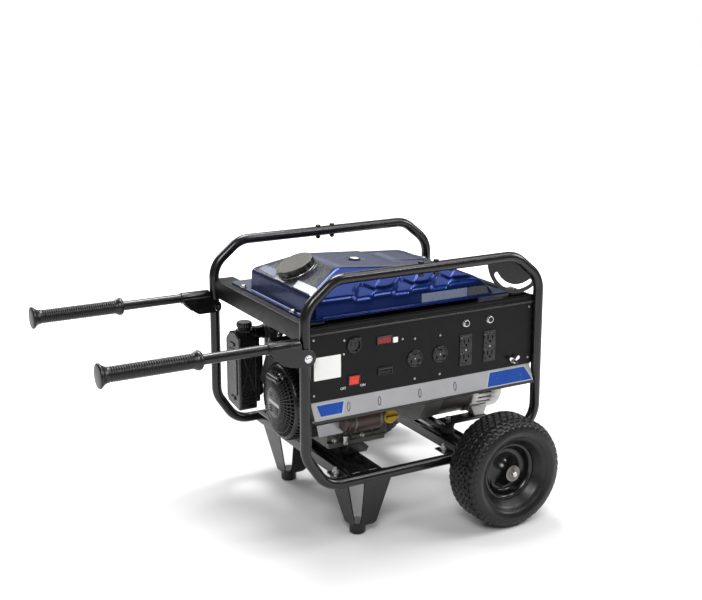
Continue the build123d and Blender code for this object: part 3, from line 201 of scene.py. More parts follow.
def turned_rows(rows: list[tuple[Array | float, Array | float]], origin: Point, axis: Point,
                steps: int) -> Shell:
    """Turned shape whose radius or height may follow the angle: origin + r(t) (cos t u + sin t v) + h(t) w.

    Args:
        rows: radius and height of each row, as a number or as one value for each angle.
        origin: foot of the axis.
        axis: direction of the heights.
        steps: number of angles round the turn.

    Returns:
        The surface, its first and last rows closed.
    """
    t = np.linspace(0, TAU, steps, endpoint=False)[:, None]
    u, v, w = axis_frame(axis)
    ring = np.cos(t) * u + np.sin(t) * v
    foot = np.array(origin, float)
    points = [foot + np.reshape(r, (-1, 1)) * ring + np.reshape(h, (-1, 1)) * w for r, h in rows]
    return grid(np.stack(points), wrap_v=True, cap_u=True)


def bar(low: Point, high: Point) -> Shell:
    """Straight-sided block between two corners, ready for a bevel."""
    (x0, y0, z0), (x1, y1, z1) = low, high
    return outline_plate(np.array([(x0, y0), (x1, y0), (x1, y1), (x0, y1)]), z0, z1, "xy")


def rounded(corners: list[Pair], radii: float | list[float], steps: int = 8) -> Array:
    """Closed outline with its corners rounded: each corner gives an arc tangent to its two sides.

    Args:
        corners: corner points, in order.
        radii: one radius for all, or one each.
        steps: points per arc.

    Returns:
        (n, 2) array of outline points.
    """
    c = np.array(corners, float)
    r = np.broadcast_to(np.array(radii, float), len(c))
    back, ahead = np.roll(c, 1, 0) - c, np.roll(c, -1, 0) - c
    back /= np.linalg.norm(back, axis=1)[:, None]
    ahead /= np.linalg.norm(ahead, axis=1)[:, None]
    half = np.arccos(np.clip(np.sum(back * ahead, 1), -1, 1)) / 2
    middle = back + ahead
    middle /= np.maximum(np.linalg.norm(middle, axis=1), 1e-9)[:, None]
    centre = c + middle * (r / np.sin(half))[:, None]
    start = c + back * (r / np.tan(half))[:, None] - centre
    end = c + ahead * (r / np.tan(half))[:, None] - centre
    sweep = np.arctan2(start[:, 0] * end[:, 1] - start[:, 1] * end[:, 0], np.sum(start * end, 1))
    t = np.linspace(0, 1, steps)[None, :] * sweep[:, None]
    x = start[:, :1] * np.cos(t) - start[:, 1:] * np.sin(t)
    y = start[:, :1] * np.sin(t) + start[:, 1:] * np.cos(t)
    return (centre[:, None, :] + np.stack([x, y], -1)).reshape(-1, 2)


def box_outline(x: float, z: float, width: float, height: float, radius: float, steps: int = 6) -> Array:
    """Rounded rectangle about a centre."""
    w, h = width / 2, height / 2
    return rounded([(x - w, z - h), (x + w, z - h), (x + w, z + h), (x - w, z + h)], radius, steps)


def smooth_path(points: list[Point], per_span: int = 12) -> Array:
    """Catmull-Rom curve through the points: on each span the blend of its four neighbours in t, t^2, t^3."""
    p = np.array(points, float)
    p = np.vstack([2 * p[0] - p[1], p, 2 * p[-1] - p[-2]])
    t = np.linspace(0, 1, per_span, endpoint=False)[:, None, None]
    a, b, c, d = p[:-3], p[1:-2], p[2:-1], p[3:]
    bend, twist = 2 * a - 5 * b + 4 * c - d, 3 * b - a - 3 * c + d
    curve = 0.5 * (2 * b + (c - a) * t + bend * t ** 2 + twist * t ** 3)
    return np.vstack([curve.transpose(1, 0, 2).reshape(-1, 3), p[-2]])


def pipe(path: Array, radius: float | Array, steps: int = 16, closed: bool = False,
         across: Point | None = None) -> Shell:
    """Tube along a path: at each station the circle radius (cos t n + sin t b) square to the tangent.

    Args:
        path: (n, 3) stations.
        radius: one radius, or one per station.
        steps: points round the tube.
        closed: the path comes back to its start.
        across: a direction that the path never follows, from which the normals are made.

    Returns:
        The tube, its ends closed.
    """
    step = np.roll(path, -1, 0) - np.roll(path, 1, 0)
    if not closed:
        step[0], step[-1] = path[1] - path[0], path[-1] - path[-2]
    tangent = step / np.linalg.norm(step, axis=1)[:, None]
    side = np.array(across if across else (0.13, 0.28, 0.95), float)
    n = np.cross(side, tangent)
    n /= np.linalg.norm(n, axis=1)[:, None]
    b = np.cross(tangent, n)
    t = np.linspace(0, TAU, steps, endpoint=False)
    r = np.broadcast_to(np.array(radius, float), len(path))[:, None, None]
    ring = np.cos(t)[None, :, None] * n[:, None] + np.sin(t)[None, :, None] * b[:, None]
    return grid(path[:, None] + r * ring, wrap_u=closed, wrap_v=True, cap_u=not closed)


def dome(radius: float, height: float, origin: Point, axis: Point, flat: float = 0.0,
         steps: int = 32) -> Shell:
    """Round button head: the profile is a quarter ellipse from the rim up to a flat of the given radius."""
    t = np.linspace(0, math.pi / 2, 8)
    profile = np.column_stack([flat + (radius - flat) * np.cos(t), height * np.sin(t)])
    return lathe(np.vstack([[radius, -0.2], profile[:-1], [max(flat, 0.05), height]]), origin, axis, steps)


def hex_head(radius: float, height: float, origin: Point, axis: Point) -> Shell:
    """Hexagon head with a chamfered top: the six-sided ring drawn in at the top by a tenth."""
    profile = [(radius, 0), (radius, height * 0.8), (radius * 0.9, height), (radius * 0.35, height),
               (radius * 0.3, height * 0.9)]
    return lathe(profile, origin, axis, 6)


def cross_screw(radius: float, origin: Point, axis: Point) -> Shell:
    """Pan head screw with a cross recess, drawn as a domed ring round a sunken four-pointed well."""
    steps = 32
    t = np.linspace(0, TAU, steps, endpoint=False)
    well = radius * (0.22 + 0.3 * np.abs(np.cos(2 * t)) ** 3)
    rows = [(radius, -0.2), (radius, radius * 0.25), (radius * 0.8, radius * 0.55), (well, radius * 0.6),
            (well * 0.8, radius * 0.15)]
    return turned_rows(rows, origin, axis, steps)


# ---- making objects ----
def to_frame(verts: Array) -> Array:
    """Millimetres from the working datum to metres in the frame of the object."""
    return verts / 1000 + DATUM


def place(name: str, shell: Shell, look: str, body: str | None = "frame",
          bevel: float = 0.0, segments: int = 2, crease: float = 35.0,
          replaces: tuple[str, ...] = ()) -> bpy.types.Object:
    """Turn a surface into a finished piece that rides on a body.

    Args:
        name: name of the piece.
        shell: its surface, in millimetres from the datum.
        look: key of its finish.
        body: the body it moves with, or None for a piece that rides on no body.
        bevel: width in millimetres of the rounding of its sharp edges, 0 for none.
        segments: steps of that rounding.
        crease: angle in degrees past which an edge is sharp.
        replaces: nodes that the piece stands for.

    Returns:
        The new object.
    """
    mesh = bpy.data.meshes.new(name)
    faces = [face for group in shell.faces for face in group.tolist()]
    mesh.from_pydata(to_frame(shell.verts).tolist(), [], faces)
    mesh.polygons.foreach_set("use_smooth", np.ones(len(faces), bool))
    mesh.set_sharp_from_angle(angle=math.radians(crease))
    mesh.materials.append(material_of(look))
    mesh.update()
    obj = bpy.data.objects.new(name, mesh)
    bpy.context.scene.collection.objects.link(obj)
    if bevel:
        mod = obj.modifiers.new("edges", "BEVEL")
        mod.width = bevel / 1000
        mod.segments = segments
        mod.limit_method = "ANGLE"
        mod.angle_limit = math.radians(crease)
        mod.harden_normals = False
    if body:
        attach(obj, body)
    if replaces:
        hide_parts(*replaces)
    log.info("%s: %d faces on %s", name, len(faces), body)
    return obj


# ---- finishes ----
def linear(red: float, green: float, blue: float) -> Point:
    """Screen colour, 0 to 255 a channel, as linear light: ((c + 0.055) / 1.055) ** 2.4 above the darkest."""
    screen = [channel / 255 for channel in (red, green, blue)]
    return tuple(((c + 0.055) / 1.055) ** 2.4 if c > 10 / 255 else c / 12.92 for c in screen)


class Graph:
    """Nodes of a material or of the world, with short ways to add and to join them."""

    def __init__(self, owner: bpy.types.ID) -> None:
        """Start on the owner's tree.

        Args:
            owner: the material or the world.
        """
        owner.use_nodes = True
        self.tree = owner.node_tree

    def feed(self, node: bpy.types.Node, inputs: dict) -> None:
        """Fill inputs of a node: a socket is linked to its input, any other value is set."""
        for key, value in inputs.items():
            if isinstance(value, Socket):
                self.tree.links.new(value, node.inputs[key])
            else:
                node.inputs[key].default_value = value

    def add(self, kind: str, inputs: dict | None = None, **settings: str) -> bpy.types.Node:
        """Add a node.

        Args:
            kind: its type, without the leading ShaderNode.
            inputs: what to fill in, by the name or number of the input.
            settings: properties of the node, set before its inputs are looked up.

        Returns:
            The node.
        """
        node = self.tree.nodes.new("ShaderNode" + kind)
        for key, value in settings.items():
            setattr(node, key, value)
        self.feed(node, inputs or {})
        return node

    def spread(self, value: Socket, low: float, high: float, to_low: float,
               to_high: float) -> Socket:
        """Carry a value from one range to another, clamped."""
        return self.add("MapRange", {"From Min": low, "From Max": high, "To Min": to_low, "To Max": to_high,
                                     "Value": value}).outputs["Result"]

    def noise(self, coords: Socket, scale: float, detail: float,
              rough: float) -> Socket:
        """Fractal noise over the coordinates."""
        return self.add("TexNoise", {"Scale": scale, "Detail": detail, "Roughness": rough,
                                     "Vector": coords}).outputs["Fac"]


class Pattern(Enum):
    """How the surface of a finish is broken up."""
    PEEL = "orange peel"
    CAST = "cast"
    MOULDED = "moulded"
    RUBBER = "rubber"
    PLATED = "plated"
    LAMINATED = "laminated"


@dataclass(frozen=True)
class Finish:
    """A surface finish made of nodes.

    Args:
        name: name of the material.
        colour: main colour, 0 to 255 a channel.
        patina: colour it drifts to where it is worn or dusty.
        drift: how far it drifts, 0 to 1.
        roughness: lowest and highest roughness.
        pattern: the kind of relief.
        scale: relief cells per metre.
        relief: height of the relief in millimetres.
        metallic: 1 for bare metal.
        coat: clear coat weight.
        specular: specular level.
    """
    name: str
    colour: tuple[int, int, int]
    patina: tuple[int, int, int]
    drift: float
    roughness: Pair
    pattern: Pattern
    scale: float
    relief: float
    metallic: float = 0.0
    coat: float = 0.0
    specular: float = 0.5

    def build(self) -> Material:
        """Make the material: colour and roughness follow a coarse noise, the relief a fine one."""
        mat = bpy.data.materials.new(self.name)
        graph = Graph(mat)
        coords = graph.add("TexCoord").outputs["Object"]
        cloud = graph.noise(coords, 14.0, 5.0, 0.62)
        smear = graph.noise(coords, 45.0, 4.0, 0.6)
        tint = graph.add("Mix", {"A": (*linear(*self.colour), 1), "B": (*linear(*self.patina), 1),
                                 "Factor": graph.spread(cloud, 0.42, 0.78, 0.0, self.drift)},
                                 data_type="RGBA")
        bump = graph.add("Bump", {"Strength": 1.0, "Distance": self.relief / 1000,
                                  "Height": self.height(graph, coords)})
        graph.feed(graph.tree.nodes["Principled BSDF"], {
            "Base Color": tint.outputs["Result"], "Metallic": self.metallic, "Coat Weight": self.coat,
            "Coat Roughness": 0.06, "Specular IOR Level": self.specular, "Normal": bump.outputs["Normal"],
            "Roughness": graph.spread(smear, 0.3, 0.75, *self.roughness)})
        return mat

    def height(self, graph: Graph, coords: Socket) -> Socket:
        """Relief of the surface, by its pattern."""
        if self.pattern is Pattern.LAMINATED:
            return graph.add("TexWave", {"Scale": self.scale, "Distortion": 0.6, "Vector": coords},
                             bands_direction="X").outputs["Fac"]
        if self.pattern in (Pattern.CAST, Pattern.RUBBER):
            cells = graph.add("TexVoronoi", {"Scale": self.scale, "Vector": coords}, feature="SMOOTH_F1")
            grains = graph.noise(coords, self.scale * 0.4, 4.0, 0.7)
            both = graph.add("Math", {0: cells.outputs["Distance"], 1: grains}, operation="ADD")
            return both.outputs["Value"]
        return graph.noise(coords, self.scale, 2.0 if self.pattern is Pattern.PEEL else 4.0, 0.5)


FINISHES: dict[str, Finish] = {
    "frame": Finish("gloss_black_powder_coat", (10, 10, 11), (22, 22, 22), 0.5, (0.16, 0.3),
        Pattern.PEEL, 650, 0.05),
    "tank": Finish("deep_blue_enamel", (1, 27, 82), (2, 34, 94), 0.5, (0.26, 0.34),
        Pattern.PEEL, 260, 0.02, metallic=0.88, coat=0.2),
    "panel": Finish("matt_black_panel_paint", (9, 9, 9), (17, 17, 17), 0.5, (0.36, 0.48),
        Pattern.PEEL, 900, 0.04, specular=0.2),
    "silver": Finish("silver_grey_apron_paint", (158, 158, 160), (146, 146, 147), 0.5, (0.3, 0.42),
        Pattern.PEEL, 800, 0.03, metallic=0.25),
    "badge": Finish("blue_badge_enamel", (16, 66, 150), (10, 50, 128), 0.5, (0.2, 0.3),
        Pattern.PEEL, 700, 0.02, coat=0.4),
    "label": Finish("bare_white_label", (226, 226, 224), (206, 206, 202), 0.5, (0.35, 0.5),
        Pattern.MOULDED, 1200, 0.01),
    "decal": Finish("dark_slate_decal", (36, 38, 44), (26, 28, 34), 0.6, (0.2, 0.32),
        Pattern.MOULDED, 1000, 0.01),
    "pale": Finish("bare_pale_plate", (176, 178, 182), (156, 158, 164), 0.5, (0.28, 0.4),
        Pattern.PEEL, 900, 0.01, metallic=0.3),
    "slate": Finish("bare_slate_plate", (92, 100, 122), (76, 84, 106), 0.5, (0.24, 0.36),
        Pattern.PEEL, 900, 0.01, metallic=0.2),
    "ruby": Finish("dark_red_lens", (128, 4, 14), (84, 3, 8), 0.5, (0.2, 0.3), Pattern.MOULDED, 500, 0.004),
    "zinc": Finish("bright_zinc_plate", (196, 196, 192), (150, 148, 138), 0.6, (0.22, 0.4),
        Pattern.PLATED, 1400, 0.02, metallic=1.0),
    "chrome": Finish("polished_chrome", (224, 224, 226), (206, 206, 210), 0.4, (0.06, 0.12),
        Pattern.PLATED, 500, 0.004, metallic=1.0),
    "aluminium": Finish("cast_aluminium", (122, 122, 120), (92, 92, 90), 0.8, (0.42, 0.62),
        Pattern.CAST, 480, 0.16, metallic=0.85),
    "bell": Finish("pale_die_cast_aluminium", (188, 187, 186), (158, 157, 155), 0.6, (0.36, 0.52),
        Pattern.CAST, 620, 0.08, metallic=0.7),
    "crankcase": Finish("grey_crankcase_casting", (98, 98, 95), (70, 70, 68), 0.8, (0.45, 0.65),
        Pattern.CAST, 420, 0.2, metallic=0.55),
    "laminations": Finish("varnished_laminations", (74, 70, 66), (52, 48, 46), 0.8, (0.35, 0.5),
        Pattern.LAMINATED, 160, 0.25, metallic=0.5),
    "iron": Finish("machined_iron", (120, 118, 114), (84, 78, 72), 0.7, (0.3, 0.5),
        Pattern.CAST, 500, 0.1, metallic=0.9),
    "plastic": Finish("black_moulded_plastic", (34, 34, 35), (52, 52, 52), 0.5, (0.4, 0.56),
        Pattern.MOULDED, 1500, 0.05),
    "outlet": Finish("black_outlet_plastic", (8, 8, 9), (16, 16, 17), 0.4, (0.2, 0.32),
        Pattern.MOULDED, 1300, 0.02),
    "starter": Finish("starter_enamel", (66, 42, 36), (40, 30, 28), 0.7, (0.28, 0.42),
        Pattern.PEEL, 420, 0.08),
    "muffler": Finish("muffler_heat_paint", (92, 90, 88), (66, 58, 52), 0.9, (0.5, 0.7),
        Pattern.CAST, 500, 0.08, metallic=0.6),
    "cap": Finish("warm_grey_cap_plastic", (70, 69, 63), (52, 52, 48), 0.6, (0.42, 0.56),
        Pattern.MOULDED, 900, 0.05, specular=0.35),
    # Near-black painted shade for the side wall of the filler cap, which is the same grey plastic as its top.
    "cap_side_painted_shade": Finish("painted_shade_cap_side", (20, 20, 19), (30, 30, 29), 0.6, (0.26, 0.4),
        Pattern.MOULDED, 900, 0.04),
    "moulding": Finish("black_semi_gloss_moulding", (14, 14, 15), (26, 26, 27), 0.5, (0.22, 0.34),
        Pattern.MOULDED, 1500, 0.04),
    "rope": Finish("braided_starter_rope", (30, 30, 30), (70, 68, 62), 0.6, (0.6, 0.8),
        Pattern.RUBBER, 2400, 0.06),
    "red": Finish("red_rocker_plastic", (214, 48, 30), (186, 36, 24), 0.5, (0.22, 0.32),
        Pattern.MOULDED, 900, 0.02),
    "yellow": Finish("yellow_cap_plastic", (208, 170, 34), (176, 138, 24), 0.6, (0.32, 0.45),
        Pattern.MOULDED, 900, 0.04),
    "white": Finish("white_lens_plastic", (232, 232, 230), (214, 214, 210), 0.4, (0.18, 0.26),
        Pattern.MOULDED, 900, 0.01),
    "rubber": Finish("matt_black_rubber", (30, 30, 30), (48, 47, 45), 0.6, (0.62, 0.8),
        Pattern.RUBBER, 1100, 0.05, specular=0.35),
    "tyre": Finish("tread_rubber", (10, 10, 10), (20, 19, 19), 0.7, (0.3, 0.44),
        Pattern.RUBBER, 700, 0.08, specular=0.4),
    "grip": Finish("grip_rubber", (7, 7, 8), (15, 15, 15), 0.5, (0.26, 0.38), Pattern.RUBBER, 1300, 0.04),
}


@cache
def material_of(look: str) -> Material:
    """Material of a finish, made the first time that something wears it.

    Args:
        look: key of the finish.

    Returns:
        The material.
    """
    return FINISHES[look].build()


# The nodes of the source that wear each finish.
CAD_FINISH: dict[str, str] = {
    "frame": "front_hoop back_hoop top_beams base_beams corner_gusset legs axle_brackets rim_front "
             "rim_back handle_front handle_back",
    "rubber": "leg_pads fuel_hose plug_lead isolators",
    "zinc": "axle wheel_retainers filler_neck fuel_tap fuel_lever wing_nut choke_lever frame_bolts",
    "tyre": "tyre_front tyre_back",
    "grip": "grip_front grip_back",
    "tank": "tank_top tank_bottom",
    "cap": "fuel_cap",
    "plastic": "fuel_gauge blower_housing recoil_cover pull_grip air_cleaner_cover air_cleaner_base",
    "panel": "panel_box",
    "silver": "panel_apron",
    "outlet": "round_outlets duplex_outlets hour_meter panel_fittings selector_switch reset_button_left "
              "reset_button_right",
    "red": "engine_switch",
    "crankcase": "crankcase",
    "aluminium": "cylinder cylinder_head alternator_adaptor carburettor",
    "iron": "flywheel crankshaft rotor",
    "laminations": "stator",
    "bell": "end_bell",
    "starter": "starter_motor",
    "yellow": "oil_cap",
    "muffler": "muffler muffler_guard",
}


def dress_cad() -> None:
    """Give every carried-over node its finish."""
    for look, nodes in CAD_FINISH.items():
        for node in nodes.split():
            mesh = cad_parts[node].data
            mesh.materials.clear()
            mesh.materials.append(material_of(look))


# ---- studio ----
@dataclass
class Studio:
    """Floor, lamps, world and camera.

    Args:
        eye: camera position in metres.
        look: unit direction of the view.
        lens: focal length in millimetres on a 36 mm sensor.
        shift: vertical shift of the sensor, for the framing.
    """
    eye: Point = tuple((DATUM + np.array([-1.1611, -2.5151, 1.1101])).tolist())
    look: Point = (0.4810, 0.8508, -0.2111)
    lens: float = 61.18
    shift: float = -0.0712

    def aimed(self, name: str, data: bpy.types.ID, where: Point, aim: Vector) -> bpy.types.Object:
        """Object that looks along a direction with Z up.

        Args:
            name: name of the object.
            data: the camera or lamp that it shows.
            where: its position in metres.
            aim: the direction.

        Returns:
            The new object.
        """
        obj = bpy.data.objects.new(name, data)
        turn = aim.to_track_quat("-Z", "Y").to_matrix().to_4x4()
        obj.matrix_world = Matrix.Translation(where) @ turn
        bpy.context.scene.collection.objects.link(obj)
        return obj

    def camera(self) -> None:
        """Camera looking along the given direction."""
        data = bpy.data.cameras.new("camera")
        data.lens, data.sensor_width, data.sensor_fit = self.lens, 36.0, "HORIZONTAL"
        data.shift_y, data.clip_start, data.clip_end = self.shift, 0.05, 60.0
        data.dof.use_dof = False
        bpy.context.scene.camera = self.aimed("camera", data, self.eye, Vector(self.look))

    def lamp(self, name: str, where: Point, size: float, power: float) -> None:
        """Square area lamp aimed at the middle of the object."""
        data = bpy.data.lights.new(name, "AREA")
        data.shape, data.size, data.energy = "SQUARE", size, power
        self.aimed(name, data, where, Vector((0, 0, 0.3)) - Vector(where))

    def floor(self) -> None:
        """Large pale floor: a camera ray sees it brighten to white with the distance from the middle."""
        mesh = bpy.data.meshes.new("floor")
        s = 14.0
        mesh.from_pydata([(-s, -s, 0), (s, -s, 0), (s, s, 0), (-s, s, 0)], [], [(0, 1, 2, 3)])
        floor = bpy.data.objects.new("floor", mesh)
        bpy.context.scene.collection.objects.link(floor)
        mat = bpy.data.materials.new("pale_floor")
        graph = Graph(mat)
        graph.tree.nodes.clear()
        rays = graph.add("LightPath").outputs
        seen = graph.add("Math", {0: rays["Is Camera Ray"], 1: rays["Is Transmission Ray"]}, operation="ADD")
        away = graph.add("VectorMath", {0: graph.add("TexCoord").outputs["Object"]}, operation="LENGTH")
        rise = graph.spread(away.outputs["Value"], 0.7, 2.6, 0.0, 1.0)
        strength = graph.add("Math", {0: seen.outputs["Value"], 1: rise}, operation="MULTIPLY")
        glow = graph.add("Emission", {"Strength": strength.outputs["Value"]})
        diffuse = graph.add("BsdfDiffuse", {"Color": (0.75, 0.75, 0.75, 1)})
        both = graph.add("AddShader", {0: diffuse.outputs["BSDF"], 1: glow.outputs["Emission"]})
        graph.add("OutputMaterial", {"Surface": both.outputs["Shader"]})
        mesh.materials.append(mat)

    def world(self) -> None:
        """Even ambient light, white to the camera and dimmer to everything else."""
        world = bpy.data.worlds.new("studio")
        bpy.context.scene.world = world
        graph = Graph(world)
        seen = graph.add("LightPath").outputs["Is Camera Ray"]
        graph.feed(graph.tree.nodes["Background"], {"Color": (1, 1, 1, 1),
                                                    "Strength": graph.spread(seen, 0.0, 1.0, 0.24, 1.0)})

    def build(self) -> None:
        """Set everything up."""
        bpy.context.scene.view_settings.view_transform = "Standard"
        self.camera()
        self.floor()
        self.world()
        for name, where, size, power in (
                ("key", (-1.7, -2.7, 3.0), 1.5, 90), ("top", (0.5, 0.9, 3.3), 1.3, 110),
                ("side", (3.0, -1.2, 2.0), 1.3, 45), ("back", (-0.6, 3.0, 2.4), 1.6, 50),
                ("slope", (1.6, -0.6, 3.2), 1.7, 32), ("edge", (1.5, -2.0, 2.45), 0.5, 14),
                ("horizon", (1.5, 2.8, 1.95), 1.6, 7)):
            self.lamp(name, where, size, power)


# ---- frame ----
@dataclass
class TubeFrame:
    """The two bent hoops, their bolts and the weld beads of what joins them.

    Args:
        lower_cut: corner cut at the bottom, along X and along Z.
        upper_cut: corner cut at the top.
        bend: bend radius of the tube's centre line.
        rail_bolts: X of the bolts down through each top rail.
    """
    lower_cut: Pair = (54.0, 80.0)
    upper_cut: Pair = (74.0, 61.0)
    bend: float = 68.0
    rail_bolts: Pair = (303.0, 345.0)

    def centre_line(self) -> Array:
        """Outline of the hoop's centre line in X, Z with its corners rounded."""
        (lx, lz), (ux, uz) = self.lower_cut, self.upper_cut
        right, top = POST_SPAN, HOOP_HEIGHT
        return rounded([(lx, 0), (right - lx, 0), (right, lz), (right, top - uz), (right - ux, top),
                        (ux, top), (0, top - uz), (0, lz)], self.bend, 14)

    def hoop(self, y: float) -> Shell:
        """Tube carried round the centre line, closed on itself."""
        return pipe(raised(self.centre_line(), y), TUBE_R, 28, closed=True, across=BACK)

    def weld(self, start: Point, end: Point, size: float = 2.6) -> Shell:
        """Weld bead: a rod whose radius ripples along it as size (0.8 + 0.2 |sin|)."""
        run = np.array(end, float) - np.array(start, float)
        length = np.linalg.norm(run)
        t = np.linspace(0, 1, max(8, int(length / 0.9)))
        path = np.array(start, float) + t[:, None] * run
        ripple = size * (0.8 + 0.2 * np.abs(np.sin(t * length / 3.2 * math.pi)))
        ripple[0] = ripple[-1] = size * 0.3
        return pipe(path, ripple, 8)

    def welds(self) -> Shell:
        """Beads where the beams and the gusset meet the tubes."""
        beads = []
        for side in (-1, 1):
            y = side * (HALF_WIDTH - TUBE_R)
            for x in (-3.0, 18.0):
                beads.append(self.weld((x, y, 346), (x, y, 390)))
            for x0, x1 in ((116, 203), (440, 499)):
                y = side * (HALF_WIDTH - 12)
                beads.append(self.weld((x0, y, 11), (x1, y, 11)))
        return joined(beads)

    def bolts(self) -> Shell:
        """Bolt heads on the top rails, with nuts and bolt ends below them."""
        pieces = []
        for y in (-HALF_WIDTH, HALF_WIDTH):
            for x in self.rail_bolts:
                above, below = (x, y, HOOP_HEIGHT + TUBE_R - 0.4), (x, y, HOOP_HEIGHT - TUBE_R + 0.4)
                pieces += [hex_head(6.6, 4.8, above, UP), hex_head(6.6, 6.0, below, DOWN),
                           lathe([(4, 0), (4, 7.2), (3.4, 8)], below, DOWN, 16)]
        return joined(pieces)

    def build(self) -> None:
        """Make the frame's pieces."""
        for word, y in (("front", -HALF_WIDTH), ("back", HALF_WIDTH)):
            place(f"{word}_hoop_tube", self.hoop(y), "frame", replaces=(f"{word}_hoop",))
        place("frame_welds", self.welds(), "frame")
        place("rail_bolts", self.bolts(), "frame")


# ---- wheels ----
@dataclass
class Wheel:
    """A steel wheel with a knobbly air-filled tyre.

    Args:
        radius: outer radius of the tread.
        width: width of the tyre.
        rim: outer radius of the rim flange.
        centre: X and Z of the axle.
        middle: distance of the wheel's middle plane from Y = 0.
        knobs: tread blocks round the tyre.
        groove: depth of the tread.
        wall_rings: distance from the rim and half width of each raised ring on the side wall.
    """
    radius: float = 135.8
    width: float = 112.0
    rim: float = 70.0
    centre: Pair = (499.5, -19.2)
    middle: float = 332.0
    knobs: int = 46
    groove: float = 3.6
    wall_rings: tuple[Pair, ...] = ((26.0, 1.6), (38.0, 1.2))

    def tyre(self, side: int) -> Shell:
        """Torus-like surface round the axle: at angle a and section angle s the section is a squared ellipse.

        The radius drops by the groove depth wherever the block pattern, a product of rounded square waves in
        a and in the distance across the tread, is low. Neighbouring rows of blocks are half a pitch apart.
        """
        half = self.width / 2
        section = rounded([(self.rim - 3, -16), (self.rim + 1, -24), (self.rim + 14, -half + 15),
                           (self.radius - 30, -half), (self.radius - 9, -half + 5), (self.radius, -half + 24),
                           (self.radius, half - 24), (self.radius - 9, half - 5), (self.radius - 30, half),
                           (self.rim + 14, half - 15), (self.rim + 1, 24), (self.rim - 3, 16)],
                          [2, 3, 14, 18, 12, 14, 14, 12, 18, 14, 3, 2], 4)
        closed, along = walked(section)
        fine = np.linspace(0, along[-1], 150, endpoint=False)
        r, h = (np.interp(fine, along, closed[:, i]) for i in range(2))
        row_pitch, slant, steps_per_knob = 11.0, 0.16, 12
        a = np.linspace(0, TAU, self.knobs * steps_per_knob, endpoint=False)
        across = h / row_pitch
        stagger = 0.5 * (np.round(across) % 2) + slant * across
        phase = a[:, None] * self.knobs / TAU + stagger[None, :]
        block = self.square(phase, 0.36) * self.square(across[None, :], 0.40)
        tread = within(self.radius - 13 - r, 1.6)
        depth = self.groove * (1 - block) * tread[None, :]
        wall = sum(np.exp(-((r - self.rim - off) / width) ** 2) for off, width in self.wall_rings)
        wall = 0.7 * (1 - tread) * wall
        mid = np.array([(self.radius + self.rim) / 2, 0.0])
        out = np.column_stack([r, h]) - mid
        out /= np.linalg.norm(out, axis=1)[:, None]
        rr = r[None, :] - depth * out[None, :, 0] + wall[None, :] * out[None, :, 0]
        hh = h[None, :] - depth * out[None, :, 1] * 0.7 + wall[None, :] * out[None, :, 1]
        x = self.centre[0] + rr * np.cos(a)[:, None]
        z = self.centre[1] + rr * np.sin(a)[:, None]
        y = side * (self.middle + hh)
        shell = grid(np.stack([x, y, z], -1), wrap_u=True, wrap_v=True)
        return shell if side < 0 else shell.flipped()

    def square(self, phase: Array, half: float) -> Array:
        """Rounded square wave: 1 within half of a whole number, falling smoothly to 0 beyond it."""
        off = np.abs(phase - np.round(phase))
        return within(off - half, 0.022)

    def disc(self, side: int) -> Shell:
        """Pressed wheel: rolled flange, drop to the centre, domed dish and hub, revolved about the axle."""
        face = [(6.5, 34), (13, 34), (14, 33), (15, 28), (17, 22), (20, 16.5), (24.5, 11), (30, 6.5),
                (36, 2.8), (42, 0.4), (47, -0.4), (51, 0.6), (54, 3), (56.4, 6.6), (58.4, 11), (60.4, 16),
                (63, 20), (66.6, 22), (69.6, 21.8), (70.5, 20.6), (70.2, 19), (68, 18.2), (64.6, 16),
                (61.6, 11.5), (59, 8), (56.4, 5), (55.4, 2.6), (55.4, -2.6), (56.4, -5), (59, -8),
                (61.6, -11.5), (64.6, -16), (68, -18.2), (70.2, -19), (70.5, -20.6), (69.6, -21.8),
                (67.2, -22), (64.4, -20.4), (61.6, -17), (58.6, -12), (55.4, -8.4), (52, -6), (48, -4.6),
                (42, -3.6), (36, -1), (30, 2.4), (25, 6.6), (20.6, 11), (17, 13), (14.2, 12), (13.4, -33.2),
                (12.6, -34), (6.5, -34)]
        origin = (self.centre[0], side * self.middle, self.centre[1])
        return lathe(face, origin, (0, side, 0), 96, closed=True)

    def hardware(self, side: int) -> Shell:
        """Washer, axle end with its chamfer and split pin."""
        x, z = self.centre
        y = side * (self.middle + 34.4)
        washer = lathe([(6.6, 0), (19.4, 0), (20, 0.5), (20, 1.7), (19.4, 2.2), (6.6, 2.2)], (x, y, z),
                       (0, side, 0), 48, closed=True)
        pin_y = side * (self.middle + 39.0)
        t = np.linspace(-0.75 * math.pi, 0.75 * math.pi, 24)
        eye = np.column_stack([x + 4.0 * np.sin(t), np.full(24, pin_y), z + 16.5 + 4.0 * np.cos(t)])
        legs = [pipe(np.array([(x + s * 0.9, pin_y, z + 13.5), (x + s * 0.9, pin_y, z - 11),
                               (x + s * 3.6, pin_y, z - 15.5)]), 0.85, 8, across=BACK) for s in (-1, 1)]
        collar = lathe([(6.6, 2), (11.5, 2), (12.2, 2.8), (11.6, 3.8), (9.4, 4.3), (6.6, 4.3)], (x, y, z),
                       (0, side, 0), 40, closed=True)
        return joined([washer, collar, pipe(eye, 0.95, 8, across=BACK), *legs])

    def valve(self, side: int) -> Shell:
        """Valve stem standing out of the dish, with a ribbed cap."""
        angle = math.radians(238)
        x = self.centre[0] + 41 * math.cos(angle)
        z = self.centre[1] + 41 * math.sin(angle)
        profile = [(4.2, -2), (4.2, 3), (3.2, 5), (3.2, 16), (4.3, 16.5), (4.6, 20), (4.2, 25), (2, 26)]
        return lathe(profile, (x, side * (self.middle + 2), z), (0, side, 0), 20)

